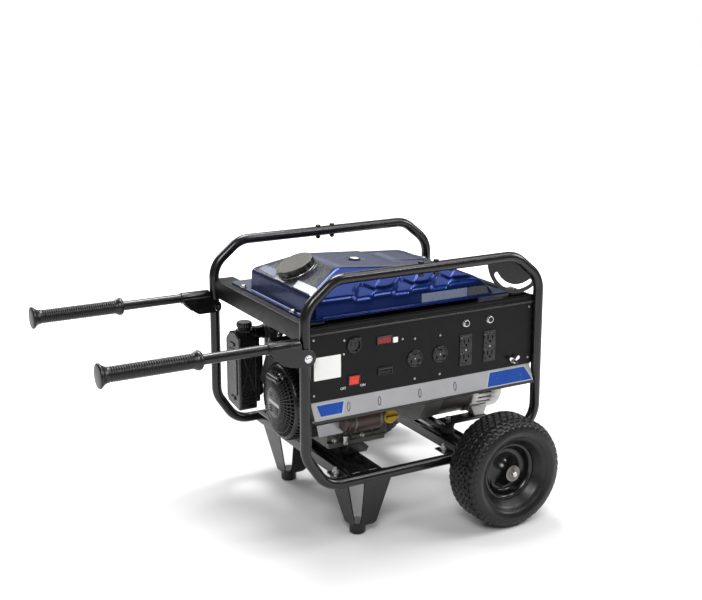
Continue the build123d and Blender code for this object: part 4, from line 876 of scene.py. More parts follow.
    def build(self, side: int) -> None:
        """Make one wheel."""
        word = "front" if side < 0 else "back"
        body = f"wheel_{word}"
        place(f"{word}_tyre_tread", self.tyre(side), "tyre", body, crease=50,
              replaces=(f"tyre_{word}",))
        place(f"{word}_wheel_disc", self.disc(side), "frame", body, crease=60,
              replaces=(f"rim_{word}",))
        place(f"{word}_valve", self.valve(side), "rubber", body)
        place(f"{word}_axle_washer", self.hardware(side), "iron", replaces=("wheel_retainers",))


# ---- handles ----
@dataclass
class Handle:
    """Fold-down handle: tube, sleeve, cheek plates, pivot bolt and ribbed grip.

    Args:
        reach: distance of the grip's end from the posts.
        axis_z: height of the tube.
        pivot_z: height of the pivot.
        grip: length of the grip.
        ribs: rings on the grip.
    """
    reach: float = 473.0
    axis_z: float = 350.0
    pivot_z: float = 318.0
    grip: float = 227.0
    ribs: int = 34

    def tube_and_sleeve(self, y: float) -> Shell:
        """Handle tube with the larger sleeve over its inner end, closed by a disc."""
        z = self.axis_z
        tube = lathe([(11.6, 0), (11.6, self.reach - 98)], (-self.reach + 6, y, z), RIGHT, 40)
        sleeve = lathe([(11.6, -0.6), (13.6, 0), (14.2, 0.8), (14.2, 74.6), (13.4, 76), (3, 76)], (-93, y, z),
                       RIGHT, 40)
        return tube + sleeve

    def cheeks(self, y: float, side: int) -> Shell:
        """Two plates welded along the sleeve's flanks; the outer one reaches further round the pivot."""
        weld, low, eye = self.axis_z - 1.5, self.pivot_z, 19.5
        outer = rounded([(-93, weld), (-93, weld - 4), (-76, low + 6), (-60, low - 8), (-42, low - 14),
                         (-12, low - eye), (eye, low - eye), (eye, low + eye), (-13.2, low + eye + 2),
                         (-18, weld)],
                        [1, 3, 8, 8, 14, 10, 19, 19, 4, 2], 8)
        inner = rounded([(-93, weld), (-93, weld - 4), (-76, low + 6), (-60, low - 6), (-50, low - 12.5),
                         (12.5, low - 12.5), (12.5, low + 12.5), (-6, low + 20), (-13.2, low + 22),
                         (-18, weld)],
                        [1, 3, 8, 6, 6, 12, 12, 8, 2, 2], 8)
        near, far = 13.2, 16.2
        return joined([outline_plate(outer, *sorted((y + side * near, y + side * far))),
                       outline_plate(inner, *sorted((y - side * near, y - side * far))),
                       bar((-17, y - near - 0.6, self.axis_z - 13), (-14, y + near + 0.6, self.axis_z + 4))])

    def weld_line(self, y: float) -> Shell:
        """Rippled weld beads where the cheeks meet the sleeve."""
        z = self.axis_z - 1.2
        return joined([TubeFrame().weld((-92, y + off, z), (-20, y + off, z), 1.7) for off in (-14.6, 14.6)])

    def grip_rings(self, y: float) -> Shell:
        """Rubber grip: the radius is a fine wave along the axis between two collars."""
        length = self.grip
        h = np.linspace(23, length - 21, self.ribs * 8)
        wave = 16.3 + 0.9 * np.cos((h - 23) / (length - 44) * TAU * self.ribs)
        body = np.column_stack([wave, h])
        start = [(0.3, 0), (23, 0), (26, 0.8), (27, 2.6), (26.6, 5), (24, 8), (20.5, 12), (18.2, 17),
                 (17, 21)]
        end = [(17, length - 19), (18.4, length - 17), (21, length - 12.5), (22, length - 8),
               (21, length - 4), (18.6, length - 1.4), (14.5, length), (11.7, length)]
        return lathe(np.vstack([start, body, end]), (-self.reach, y, self.axis_z), RIGHT, 56)

    def pivot_bolt(self, y: float, side: int) -> Shell:
        """Round-headed pivot bolt outside and a lock nut inside."""
        outer, inner = y + side * 16.3, y - side * 16.3
        head = dome(7.6, 4.8, (0, outer, self.pivot_z), (0, side, 0), flat=2.6, steps=40)
        washer = lathe([(5, 0), (8.8, 0), (9.2, 0.6), (9.2, 1.2), (5, 1.6)],
                       (0, outer - side * 0.2, self.pivot_z), (0, side, 0), 36)
        nut = hex_head(8.0, 6.5, (0, inner, self.pivot_z), (0, -side, 0))
        return joined([head, washer, nut])

    def build(self, side: int) -> None:
        """Make one handle."""
        word = "front" if side < 0 else "back"
        y = side * HALF_WIDTH
        place(f"{word}_handle_grip", self.grip_rings(y), "grip", f"handle_{word}",
              crease=60, replaces=(f"grip_{word}",))
        place(f"{word}_handle_tube", self.tube_and_sleeve(y), "frame", f"handle_{word}",
              replaces=(f"handle_{word}",))
        place(f"{word}_handle_cheeks", self.cheeks(y, side), "frame", f"handle_{word}",
              bevel=0.7)
        place(f"{word}_handle_welds", self.weld_line(y), "frame", f"handle_{word}")
        place(f"{word}_pivot_bolt", self.pivot_bolt(y, side), "chrome")


# ---- what carries the tank ----
@dataclass
class TankSupport:
    """Beams between the posts, the brackets of the tank's right ears, its lower tray and its bolts.

    Args:
        seat: height of the surface that the flange lies on.
        depth: depth of the left beam.
        sheet: thickness of the sheet.
        low_beam: heights of the right beam.
        bolts: X and Y of the tank bolts, the right ones last.
        tray: X, Y and Z extents of the lower tray.
    """
    seat: float = 391.0
    depth: float = 46.0
    sheet: float = 2.5
    low_beam: Pair = (346.0, 370.0)
    bolts: tuple[Pair, ...] = ((22.5, -150.0), (22.5, 120.0), (586.0, -223.0), (586.0, 171.0))
    tray: tuple[Pair, ...] = ((64.0, 528.0), (-190.0, 164.0), (349.0, 391.0))

    def beams(self) -> Shell:
        """Two folded channels, their outlines carried from the front posts to the back ones."""
        top, low, s = self.seat, self.seat - self.depth, self.sheet
        reach = HALF_WIDTH - 2
        left = rounded([(-4, low), (12, low), (12, low + s), (-1.5, low + s), (-1.5, top - s), (52, top - s),
                        (52, top), (-4, top)], [3.4, 0.6, 0.6, 1, 1, 0.6, 0.6, 3.4], 5)
        z0, z1 = self.low_beam
        x0, x1 = POST_SPAN - 12, POST_SPAN + 4
        right = rounded([(x0, z0), (x1, z0), (x1, z1), (x0, z1), (x0, z1 - s), (x1 - s, z1 - s),
                         (x1 - s, z0 + s), (x0, z0 + s)], [0.6, 3.4, 3.4, 0.6, 0.6, 1, 1, 0.6], 5)
        return outline_plate(left, -reach, reach) + outline_plate(right, -reach, reach)

    def brackets(self) -> Shell:
        """A web from each right post and the shelf under the ear of the tank."""
        pieces = []
        for x, y in self.bolts[2:]:
            side = -1 if y < 0 else 1
            web_y = side * (HALF_WIDTH - TUBE_R)
            web = rounded([(x - 16, self.seat), (x + 18, self.seat), (POST_SPAN - 3, 378),
                           (POST_SPAN - 3, 366), (POST_SPAN - 20, 366), (x - 16, self.seat - 6)],
                           [1, 6, 2, 2, 6, 1], 5)
            pieces.append(outline_plate(web, *sorted((web_y, web_y - side * self.sheet))))
            y0, y1 = sorted((web_y, y - side * 14))
            pieces.append(bar((x - 16, y0, self.seat - self.sheet), (x + 18, y1, self.seat)))
        return joined(pieces)

    def tray_shell(self) -> Shell:
        """Lower pressing of the tank: a shallow tray with rounded corners, drawn in towards its floor."""
        (x0, x1), (y0, y1), (z0, z1) = self.tray
        rows = []
        for inset, z in ((12, z0), (6, z0 + 1), (2.4, z0 + 4), (0.6, z0 + 10), (0, z1)):
            line = rounded([(x0 + inset, y0 + inset), (x1 - inset, y0 + inset), (x1 - inset, y1 - inset),
                            (x0 + inset, y1 - inset)], 25, 8)
            rows.append(raised(line, z, "xy"))
        return grid(np.stack(rows), wrap_v=True, cap_u=True)

    def bolt_heads(self) -> Shell:
        """Hexagon heads and washers on the flange, with their nuts below."""
        pieces = []
        for x, y in self.bolts:
            pieces.append(lathe([(8.6, -0.2), (8.6, 1.4), (0.2, 1.4)], (x, y, self.seat + 4), UP, 28))
            pieces.append(hex_head(6.8, 4.6, (x, y, self.seat + 5.2), UP))
            pieces.append(hex_head(6.8, 5.6, (x, y, self.seat - self.sheet), DOWN))
        return joined(pieces)

    def build(self) -> None:
        """Make what carries the tank."""
        place("tank_beams", self.beams(), "panel", replaces=("top_beams",))
        place("tank_brackets", self.brackets(), "panel", bevel=0.6)
        place("tank_tray", self.tray_shell(), "tank", crease=50, replaces=("tank_bottom",))
        place("tank_bolts", self.bolt_heads(), "zinc", replaces=("frame_bolts",))


# ---- fuel tank ----
@dataclass
class FuelTank:
    """Pressed steel tank with a channelled front slope, its seam, cap, gauge and bare decals.

    Args:
        plan: corners of the tank body at the seam, in X and Y.
        corner_radii: rounding of those corners.
        seam: height of the seam.
        eave: rounding between the top and the walls.
        channels: X at which the middle of each channel meets the front edge.
        lean: sideways run of a channel per millimetre of run towards the back.
        filler: X and Y of the filler neck.
        gauge: X and Y of the fuel gauge.
        field: X and Y of the middle of the sunk field, which has a raised panel in it.
        neck_lean: rise per millimetre of the slope that the neck stands on.
        slopes: planes of the pressing: a height, an X and the rise along X from it, a Y and the rise along Y.
    """
    plan: tuple[Pair, ...] = ((30, -234), (540, -234), (540, 176), (90, 176), (30, 90))
    corner_radii: tuple[float, ...] = (26, 34, 34, 22, 22)
    seam: float = 395.0
    eave: float = 8.0
    channels: tuple[float, ...] = (157.5, 263.0, 367.5)
    lean: float = 1.28
    filler: Pair = (80.0, -62.0)
    gauge: Pair = (222.0, -84.0)
    field: Pair = (372.0, -52.0)
    neck_lean: float = 45 / 99
    slopes: tuple[tuple[float, ...], ...] = (
        (492, 129, -23 / 283, 0, 0), (447, 30, 45 / 99, 0, 0), (469, 412, -32 / 78, 0, 0),
        (437, 490, -42 / 50, 0, 0), (432, 0, 0, -234, 0.968), (492, 129, -10 / 164, 12, -62 / 164),
        (447, 30, 2544 / 13194, 90, -4383 / 13194))

    def planes(self, x: Array, y: Array) -> Array:
        """Heights of the slopes of the pressing above a point, stacked: z + a (x - x0) + b (y - y0)."""
        return np.stack([z + a * (x - x0) + b * (y - y0) for z, x0, a, y0, b in self.slopes])

    def height(self, x: Array, y: Array, plain: bool = False) -> Array:
        """Height of the top: the smooth minimum -k log(sum exp(-h / k)) of the slopes, less its recesses.

        Args:
            x: X of the points.
            y: Y of the points.
            plain: leave the recesses out.

        Returns:
            Heights in millimetres.
        """
        blend = 2.6
        p = self.planes(x, y)
        low = p.min(0)
        z = low - blend * np.log(np.exp(-(p - low) / blend).sum(0))
        if plain:
            return z
        front_edge, channel_depth, channel_half, ledge_depth, soft = -234, 5.4, 24.5, 3.2, 1.3
        run = np.clip((y + 186) / -14, 0, 1)
        fade = run * run * (3 - 2 * run)
        for middle in self.channels:
            off = np.abs(x - middle - self.lean * (y - front_edge))
            z = z - channel_depth * fade * within(off - channel_half, soft)
        scallop = -221 + 15 * sum(np.exp(-((x - middle - 14) / 24) ** 2) for middle in self.channels)
        z = z - ledge_depth * within(y - scallop, soft) * within(140 - x, 3)
        dx, dy = x - self.field[0], y - self.field[1]
        z = z - 3.2 * self.box_step(dx, dy, 76, 88, 22, 1.8) + 2.4 * self.box_step(dx, dy, 46, 56, 18, 2.4)
        z = z - 1.8 * within(np.hypot(x - self.gauge[0], y - self.gauge[1]) - 24, 1.2)
        return z + self.filler_boss(x, y)

    def filler_boss(self, x: Array, y: Array) -> Array:
        """Rise of the round seat that the filler neck is soldered to."""
        return 2.0 * within(np.hypot(x - self.filler[0], y - self.filler[1]) - 50, 1.4)

    def box_step(self, x: Array, y: Array, half_x: float, half_y: float, radius: float, soft: float) -> Array:
        """One inside a rounded rectangle and zero outside, by the signed distance from its edge."""
        qx, qy = np.abs(x) - half_x + radius, np.abs(y) - half_y + radius
        away = np.hypot(np.maximum(qx, 0), np.maximum(qy, 0)) + np.minimum(np.maximum(qx, qy), 0) - radius
        return within(away, soft)

    def edge(self, count: int) -> tuple[Array, Array]:
        """Evenly spaced points round the plan outline and their outward normals."""
        closed, along = walked(rounded(list(self.plan), list(self.corner_radii), 16))
        at = np.linspace(0, along[-1], count, endpoint=False)
        ring = np.column_stack([np.interp(at, along, closed[:, i]) for i in range(2)])
        return ring, outward(ring)

    def skin(self) -> Shell:
        """Top pressing as rings that shrink from the seam to the middle.

        Ring s has the points c + s (edge - c). Its height is that of the slopes, less the quarter round
        eave - sqrt(eave^2 - (eave - d)^2) where the distance d to the edge is under the eave radius.
        """
        count, centre, half_width = 620, np.array([300.0, -40.0]), 205.0
        near_edge = np.array([0.0, 0.4, 0.9, 1.6, 2.6, 4.0, 6.0])
        ring, out = self.edge(count)
        reach = np.sum((ring - centre) * out, 1)
        s = 1 - (1 - np.linspace(0.02, 1, 104)) ** 1.35
        s = np.sort(np.concatenate([s[:-1], 1 - near_edge / half_width]))[::-1]
        xy = centre + s[:, None, None] * (ring - centre)
        z = self.height(xy[..., 0], xy[..., 1])
        room = np.clip((z[0] - self.seam) * 0.7, 0.4, self.eave)
        gap = np.clip((1 - s)[:, None] * reach, 0, room)
        z = np.maximum(z - (room - np.sqrt(np.maximum(room ** 2 - (room - gap) ** 2, 0))), self.seam + 0.6)
        top = np.concatenate([xy, z[..., None]], -1)
        rim, step = z[0], 3.2
        t = np.linspace(0, 1, 7)[1:, None]
        wall_z = np.minimum(self.seam + step + (1 - t) * (rim - self.seam - step), rim)
        wall = np.concatenate([ring + (1.2 * t)[..., None] * out, wall_z[..., None]], -1)
        a = np.linspace(0, math.pi / 2, 6)[1:, None]
        foot_z = np.minimum(self.seam + step * (1 - np.sin(a)), rim)
        foot = np.concatenate([ring + (1.2 + 3.6 * (1 - np.cos(a)))[..., None] * out, foot_z[..., None]], -1)
        return grid(np.concatenate([foot[::-1], wall[::-1], top]), wrap_v=True, cap_u=True)

    def flange(self) -> Shell:
        """Seam flange of two sheets with a rolled lip: its section is swept round a plan with two ears."""
        corners = [(16, -242), (604, -242), (604, -204), (566, -204), (560, -198), (560, 146), (566, 152),
                   (604, 152), (604, 190), (16, 190)]
        line = rounded(corners, [18, 14, 14, 3, 3, 3, 3, 14, 14, 18], 10)
        section = [(-1.8, 391.1), (-0.6, 390.9), (0.0, 391.4), (0.0, 394.6), (-0.6, 395.3), (-1.8, 395.2)]
        rows = np.stack([raised(line + d * outward(line), z, "xy") for d, z in section])
        return grid(rows, wrap_v=True, cap_u=True)

    def patch(self, corners: list[Pair], lift: float, radius: float, steps: int) -> Shell:
        """Thin decal on the top: the bilinear patch between four corners, laid on the pressing and lifted.

        Args:
            corners: its corners in X and Y, in order.
            lift: how far it stands off the paint.
            radius: share of the patch that each corner's rounding takes, 0 to 1.
            steps: points along a side.

        Returns:
            The patch with its edge turned down to the paint.
        """
        u = np.linspace(-1, 1, steps)
        uu, vv = np.meshgrid(u, u, indexing="ij")
        squeeze = 1 - radius * (uu * vv) ** 6
        uu, vv = uu * squeeze, vv * squeeze
        a, b, c, d = (np.array(corner, float) for corner in corners)
        s, t = ((uu + 1) / 2)[..., None], ((vv + 1) / 2)[..., None]
        xy = (1 - s) * (1 - t) * a + s * (1 - t) * b + s * t * c + (1 - s) * t * d
        z = self.height(xy[..., 0], xy[..., 1], plain=True) + self.filler_boss(xy[..., 0], xy[..., 1]) + lift
        shell = grid(np.concatenate([xy, z[..., None]], -1))
        rim = np.concatenate([np.arange(steps) * steps, (steps - 1) * steps + np.arange(1, steps),
                              np.arange(steps - 2, -1, -1) * steps + steps - 1, np.arange(steps - 2, 0, -1)])
        low = shell.verts[rim] - np.array([0, 0, lift + 0.3])
        base = len(shell.verts)
        nxt, lower = np.roll(rim, -1), base + np.arange(len(rim))
        skirt = np.column_stack([nxt, rim, lower, np.roll(lower, -1)])
        total = Shell(np.vstack([shell.verts, low]), [shell.faces[0], skirt])
        normal = np.cross(shell.verts[steps] - shell.verts[0], shell.verts[1] - shell.verts[0])
        return total if normal[2] > 0 else total.flipped()

    def neck_frame(self) -> tuple[Array, Array]:
        """Foot of the filler neck and the direction of its axis."""
        x, y = self.filler
        axis = np.array([-self.neck_lean, 0.0, 1.0])
        return np.array([x, y, 447 + (x - 30) * self.neck_lean]), axis / np.linalg.norm(axis)

    def collar(self) -> Shell:
        """Neck collar: a plated ring seated on the slope with a rolled edge and eight clamping dimples."""
        steps = 160
        dimple = 1.4 * np.maximum(np.cos(8 * np.linspace(0, TAU, steps, endpoint=False)), 0) ** 6
        profile = [(46.5, 0.2, 0), (46.5, 2.4, 0), (45.6, 3.6, 0), (43.8, 3.8, 1), (41.6, 3.6, 1),
                   (40, 4.6, 0), (38.6, 8, 0), (36.4, 10, 0), (36.1, 14, 0), (33, 15, 0), (32, 13, 0)]
        return turned_rows([(r, h - share * dimple) for r, h, share in profile], *self.neck_frame(), steps)

    def cap(self) -> tuple[Shell, Shell]:
        """Filler cap: the domed top, and the skirt, fluted between twelve finger grips, that wears painted
        shade.
        """
        steps = 288
        flute = 2.6 * (0.5 - 0.5 * np.cos(12 * np.linspace(0, TAU, steps, endpoint=False))) ** 3
        skirt = [(37.2, 3.6, 0), (44.0, 3.4, 0.8), (46.6, 4.2, 1.6), (47.2, 6, 1.6), (47.2, 12, 1.6),
                 (47.0, 18.3, 1.6), (40, 18.5, 0)]
        top = [(40, 18.3, 0), (45.2, 18.4, 0.5), (45.8, 19.0, 0.4), (45.6, 19.9, 0.3), (44.2, 20.6, 0.2),
               (42.4, 20.8, 0.1), (40.6, 20.6, 0), (39.4, 20.0, 0), (38.2, 20.1, 0), (36, 20.6, 0),
               (28, 21.3, 0), (16, 21.55, 0), (0.4, 21.6, 0)]
        return tuple(turned_rows([(r - share * flute, h) for r, h, share in rows], *self.neck_frame(), steps)
                     for rows in (top, skirt))

    def gauge_lens(self) -> tuple[Shell, Shell]:
        """Fuel gauge: a black threaded ring and the white domed lens inside it."""
        x, y = self.gauge
        z = float(self.height(np.array([x]), np.array([y]))[0])
        tilt = (23 / 283, 0.0, 1.0)
        ring = lathe([(15, -1), (15, 3.4), (14.4, 4.4), (12.4, 4.8), (11.4, 4.2), (11.2, 1)], (x, y, z),
                     tilt, 48)
        t = np.linspace(0, 1, 9)
        lens = lathe(np.column_stack([11.3 - 11.2 * t, 3.4 + 2.6 * np.sqrt(t)]), (x, y, z), tilt, 48)
        return ring, lens

    def badge(self, x0: float, x1: float, slant: float) -> Shell:
        """Bare plate on the front wall, its right end cut to the slant of the tank's end."""
        outline = rounded([(x0, 397.5), (x1 + slant, 397.5), (x1, 418.5), (x0, 418.5)], [2, 0.8, 0.8, 2], 5)
        return outline_plate(outline, -236.4, -234.6, "xz")

    def build(self) -> None:
        """Make the tank's pieces."""
        place("tank_pressing", self.skin(), "tank", crease=70, replaces=("tank_top",))
        place("tank_seam", self.flange(), "tank", crease=50)
        for name, look, corners, lift, radius, steps in (
                ("tank_decal", "decal", [(31, 84), (129, 6), (127, -164), (31, -219)], 0.8, 0.05, 90),
                ("tank_label", "pale", [(32, -134), (54, -118), (54, -210), (33, -227)], 1.2, 0.04, 28),
                ("tank_badge_small", "slate", [(38, 63), (56, 66), (56, -8), (35, -31)],
                 1.2, 0.04, 28)):
            place(name, self.patch(corners, lift, radius, steps), look, crease=60)
        place("tank_badge_plate", self.badge(318, 448, 0), "slate", bevel=0.4)
        place("tank_badge_end", self.badge(450, 503, 8), "decal", bevel=0.4)
        place("filler_collar", self.collar(), "zinc", crease=50, replaces=("filler_neck",))
        top, skirt = self.cap()
        place("filler_cap_top", top, "cap", "fuel_cap", crease=40, replaces=("fuel_cap",))
        # The skirt wears near-black painted shade instead of the grey of the cap's top.
        place("filler_cap_skirt", skirt, "cap_side_painted_shade", "fuel_cap", crease=40)
        ring, lens = self.gauge_lens()
        place("gauge_ring", ring, "plastic", crease=40, replaces=("fuel_gauge",))
        place("gauge_lens", lens, "white", crease=60)


# ---- control panel ----
@dataclass
class ControlPanel:
    """Everything on the face of the sheet housing and on the skirt below it.

    Args:
        face: Y of the housing's face.
        outlet_z: height of the middle of the outlets.
        twist_locks: X of the round locking outlets.
        duplexes: X of the double outlets.
        stud: X and Z of the earth stud.
        apron: height and depth that the sloping skirt falls by, from the foot of the housing.
    """
    face: float = -250.0
    outlet_z: float = 269.0
    twist_locks: tuple[float, ...] = (291.0, 362.0)
    duplexes: tuple[float, ...] = (436.0, 506.0)
    stud: Pair = (577.0, 221.0)
    apron: Pair = (38.0, 18.0)

    def relief(self, x: Array, z: Array, stand: Array, rim: float) -> Shell:
        """Height field over X and Z that faces -Y, its border turned back to the face of the housing.

        Args:
            x: X of the grid.
            z: Z of the grid.
            stand: how far each point stands off the housing.
            rim: how far the border stands off.

        Returns:
            The closed front of a moulding.
        """
        points = np.stack([x, self.face - stand, z], -1)
        border = points.copy()
        border[..., 1] = self.face - rim
        wide = np.concatenate([border[:1], points, border[-1:]])
        side = np.concatenate([wide[:, :1], wide, wide[:, -1:]], 1)
        side[:, 0, 1] = side[:, -1, 1] = self.face - rim
        return grid(side)

    def slot(self, x: Array, z: Array, half_x: float, half_z: float) -> Array:
        """One inside a small rectangular opening and zero outside it."""
        return within(np.maximum(np.abs(x) - half_x, np.abs(z) - half_z), 0.16)

    def duplex(self, x0: float) -> Shell:
        """Double outlet: two raised faces, flat at top and bottom, each with two blades and an earth hole."""
        x, z = np.meshgrid(np.linspace(-17.5, 17.5, 120), np.linspace(-39, 39, 260), indexing="ij")
        stand = np.full(x.shape, 2.0)
        for middle in (-19.5, 19.5):
            dz = z - middle
            face = np.maximum(np.hypot(x, dz) - 17.0, np.abs(dz) - 14.2)
            stand = stand + 1.7 * within(face, 0.35)
            cut = self.slot(x + 6.4, dz - 3.2, 1.1, 4.6) + self.slot(x - 6.4, dz - 3.2, 1.1, 3.8)
            earth = within(np.maximum(np.hypot(x, dz + 7.4) - 2.6, -dz - 9.0), 0.16)
            stand = stand - 6.5 * np.clip(cut + earth, 0, 1)
        return self.relief(x + x0, z + self.outlet_z, stand, -1.0)

    def twist_lock(self, x0: float) -> Shell:
        """Round locking outlet: a rim, a sunk ring and a face with three curved slots about its centre."""
        turn = np.linspace(0, TAU, 200, endpoint=False)
        r, a = np.meshgrid(np.linspace(0.05, 21.5, 90), turn, indexing="ij")
        stand = 1.4 + 1.9 * within(np.abs(r - 19.6) - 1.5, 0.25) + 1.1 * within(r - 16.2, 0.3)
        for middle in (90.0, 210.0, 330.0):
            off = np.abs((np.degrees(a) - middle + 180) % 360 - 180)
            wide = 21.0 if middle == 90.0 else 17.0
            cut = np.maximum(np.abs(r - 11.6) - 1.5, np.radians(off - wide) * 11.6)
            stand = stand - 6.0 * within(cut, 0.18)
        points = np.stack([x0 + r * np.cos(a), self.face - stand, self.outlet_z + r * np.sin(a)], -1)
        back = points[-1:].copy()
        back[..., 1] = self.face + 1
        return grid(np.concatenate([back, points[::-1]]), wrap_v=True, cap_u=True).flipped()

    def dc_socket(self) -> Shell:
        """Recessed socket with a notched rim and a hinged lid folded up against it."""
        x, z = 127.0, 326.0
        ring = lathe([(18.6, 0), (18.6, 3.2), (17.8, 4.2), (15.2, 4.2), (14.6, 3.2), (14.2, -6), (13.6, -11),
                      (0.3, -11)], (x, self.face, z), FRONT, 64)
        pins = [bar((x + off - 1.4, self.face - 1.5, z - 2.1), (x + off + 1.4, self.face + 11, z + 5.1))
                for off in (-6, 6)]
        lid = outline_plate(box_outline(x + 7, z + 14.4, 20, 6.5, 2.6), self.face - 6.2, self.face - 3.4)
        return joined([ring, lid, *pins])

    def screws(self) -> Shell:
        """Small screws of the outlets, the housing and the corner of the panel."""
        y = self.face - 0.2
        places = [(291, 318), (362, 316), (291, 220), (362, 220), (101, 341), (100, 309), (23, 352),
                  (23, 222), (624, 352), (624, 222), (257, 322)]
        heads = [cross_screw(3.0, (x, y, z), FRONT) for x, z in places]
        heads += [cross_screw(2.6, (x, self.face - 2.0, self.outlet_z), FRONT) for x in self.duplexes]
        return joined(heads)

    def outlet_screws(self) -> Shell:
        """The bright centre and terminal screws of the round outlets."""
        return joined([dome(1.9, 1.2, (x, self.face - 2.6, self.outlet_z), FRONT, 0.6, 20)
                       for x in self.twist_locks])

    def meter(self) -> tuple[Shell, Shell]:
        """Hour meter: a raised bezel and the sunk lens in it."""
        x, z = 208.0, 326.0
        inner = box_outline(x, z, 36.5, 15.5, 1.6)
        steps = [(box_outline(x, z, 42, 21, 3), -0.5), (box_outline(x, z, 42, 21, 3), 2.6),
                 (box_outline(x, z, 40.6, 19.6, 2.4), 3.4), (inner, 3.2), (inner, 0.8)]
        bezel = grid(np.stack([raised(line, self.face - stand) for line, stand in steps]), wrap_v=True)
        return bezel.flipped(), outline_plate(inner, self.face - 1.5, self.face - 0.6)

    def buttons(self) -> Shell:
        """Knurled nuts round the reset buttons: the radius is a fine wave in the angle."""
        steps = 144
        wave = 0.3 * np.cos(36 * np.linspace(0, TAU, steps, endpoint=False))
        profile = [(9.2, 0, 0), (9.2, 0.6, 0), (8.3, 1, 1), (8.3, 4.4, 1), (7.7, 5.2, 0), (6.3, 5.2, 0),
                   (6.2, 2.5, 0)]
        rows = [(r + share * wave, h) for r, h, share in profile]
        return joined([turned_rows(rows, (x, self.face, 335), FRONT, steps) for x in self.duplexes])

    def apron_point(self, x: Array, z: Array, lift: float) -> Array:
        """Points lifted square to the skirt, which falls from z = 205: y = face - run (205 - z) / fall."""
        fall, run = self.apron
        normal = np.array([0.0, -fall, run]) / math.hypot(fall, run)
        return np.column_stack([x, self.face - run * (205 - z) / fall, z]) + lift * normal

    def on_apron(self, corners: list[Pair], lift: float, thick: float = 0.5) -> Shell:
        """Flat plate on the sloping skirt; its corners are given in X and in Z."""
        o = np.array(corners, float)
        rows = [self.apron_point(o[:, 0], o[:, 1], height) for height in (lift - thick, lift)]
        shell = grid(np.stack(rows), wrap_v=True, cap_u=True)
        return shell.flipped() if runs_clockwise(o) else shell

    def icon(self, x: float) -> Shell:
        """Plain upright oval ring, a bare stand-in for a pictogram."""
        t = np.linspace(0, TAU, 48, endpoint=False)
        rows = []
        outer, inner = (4.2, 9.5), (2.856, 7.82)
        for (half_x, half_z), lift in ((outer, 0.1), (outer, 0.45), (inner, 0.45), (inner, 0.1)):
            px = x + half_x * np.cos(t) + 2.2 * np.sin(t)
            rows.append(self.apron_point(px, 185 + half_z * np.sin(t), lift))
        return grid(np.stack(rows), wrap_v=True)

    def text(self, name: str, words: str, x: float, z: float, size: float) -> None:
        """Small generic word on the panel."""
        curve = bpy.data.curves.new(name, "FONT")
        curve.body, curve.size, curve.extrude = words, size / 1000, 0.0001
        curve.align_x = curve.align_y = "CENTER"
        curve.materials.append(material_of("label"))
        source = bpy.data.objects.new(name + "_source", curve)
        mesh = bpy.data.meshes.new_from_object(source)
        bpy.data.objects.remove(source)
        where = to_frame(np.array([x, self.face - 0.25, z]))
        mesh.transform(Matrix.Translation(where) @ Matrix.Rotation(math.pi / 2, 4, "X"))
        obj = bpy.data.objects.new(name, mesh)
        bpy.context.scene.collection.objects.link(obj)
        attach(obj, "frame")

    def wing_nut(self) -> Shell:
        """Wing nut: a waisted hub and two wings in a V, each an egg-shaped plate that narrows to the hub."""
        x, z = self.stud
        y = self.face - 12.6
        hub = lathe([(3.4, 0), (5, 0), (5.4, 1), (6.6, 6.4), (7.4, 8.2), (3.4, 8.2)], (x, y, z), BACK, 36,
                    closed=True)
        t = np.linspace(0, TAU, 36, endpoint=False)
        wings = []
        for turn in (40, 148):
            angle = math.radians(turn)
            along = 10.5 + 7.5 * np.cos(t)
            off = (4.2 + 1.4 * np.cos(t)) * np.sin(t)
            line = np.column_stack([x + along * math.cos(angle) - off * math.sin(angle),
                                    z + along * math.sin(angle) + off * math.cos(angle)])
            wings.append(outline_plate(line, y + 1.0, y + 4.4))
        return joined([hub, *wings])

    def plate(self, x: float, z: float, width: float, height: float, stand: float, sunk: float) -> Shell:
        """Flat rounded plate that stands off the face of the housing and is sunk a little way into it."""
        return outline_plate(box_outline(x, z, width, height, 2), self.face - stand, self.face + sunk)

    def badges(self) -> list[tuple[str, Shell, str]]:
        """Bare badges of the skirt, each on a pale edge."""
        left = [(28, 198), (98, 198), (88, 175), (34, 175)]
        right = [(508, 199.5), (612, 199.5), (627, 169.5), (492, 169.5)]
        edges = (self.on_apron([(25, 200.5), (102, 200.5), (91, 172.5), (32, 172.5)], 0.25)
                 + self.on_apron([(505, 202), (615, 202), (630, 167.5), (487, 167.5)], 0.25))
        return [("apron_badge_edges", edges, "pale"),
                ("apron_badge_left", self.on_apron(left, 0.55), "badge"),
                ("apron_badge_right", self.on_apron(right, 0.55), "badge")]

    def sheets(self) -> tuple[Shell, Shell, Shell, Shell]:
        """Lip of the skirt, head strip, shelf with its right flange, and faceted lip of the housing."""
        foot = rounded([(-269.2, 159.4), (-253, 159.4), (-253, 161.2), (-267.2, 161.6), (-267.2, 166.4),
                        (-269.2, 167.0)], [1.4, 0.3, 0.3, 0.6, 0.3, 0.3], 4)
        head = rounded([(16, 367), (632, 367), (632, 382), (16, 382)], [0.5, 0.5, 5, 5], 5)
        lip = rounded([(self.face + 0.4, 361.5), (self.face - 3.4, 361.5), (self.face - 3.8, 364.6),
                       (self.face + 0.4, 369.8)], [0.3, 1, 0.8, 0.3], 5)
        shelf = rounded([(20, -250), (634, -250), (634, -206), (20, -206)], 3, 4)
        flange = rounded([(628, 206), (POST_SPAN, 206), (POST_SPAN, 366), (628, 366)], 2, 4)
        return (outline_plate(foot, 16, 632, "yz"), outline_plate(head, self.face, self.face + 2.2),
                outline_plate(shelf, 378.6, 381.4, "xy") + outline_plate(flange, -247, -244.5),
                outline_plate(lip, 13.6, 634.4, "yz"))

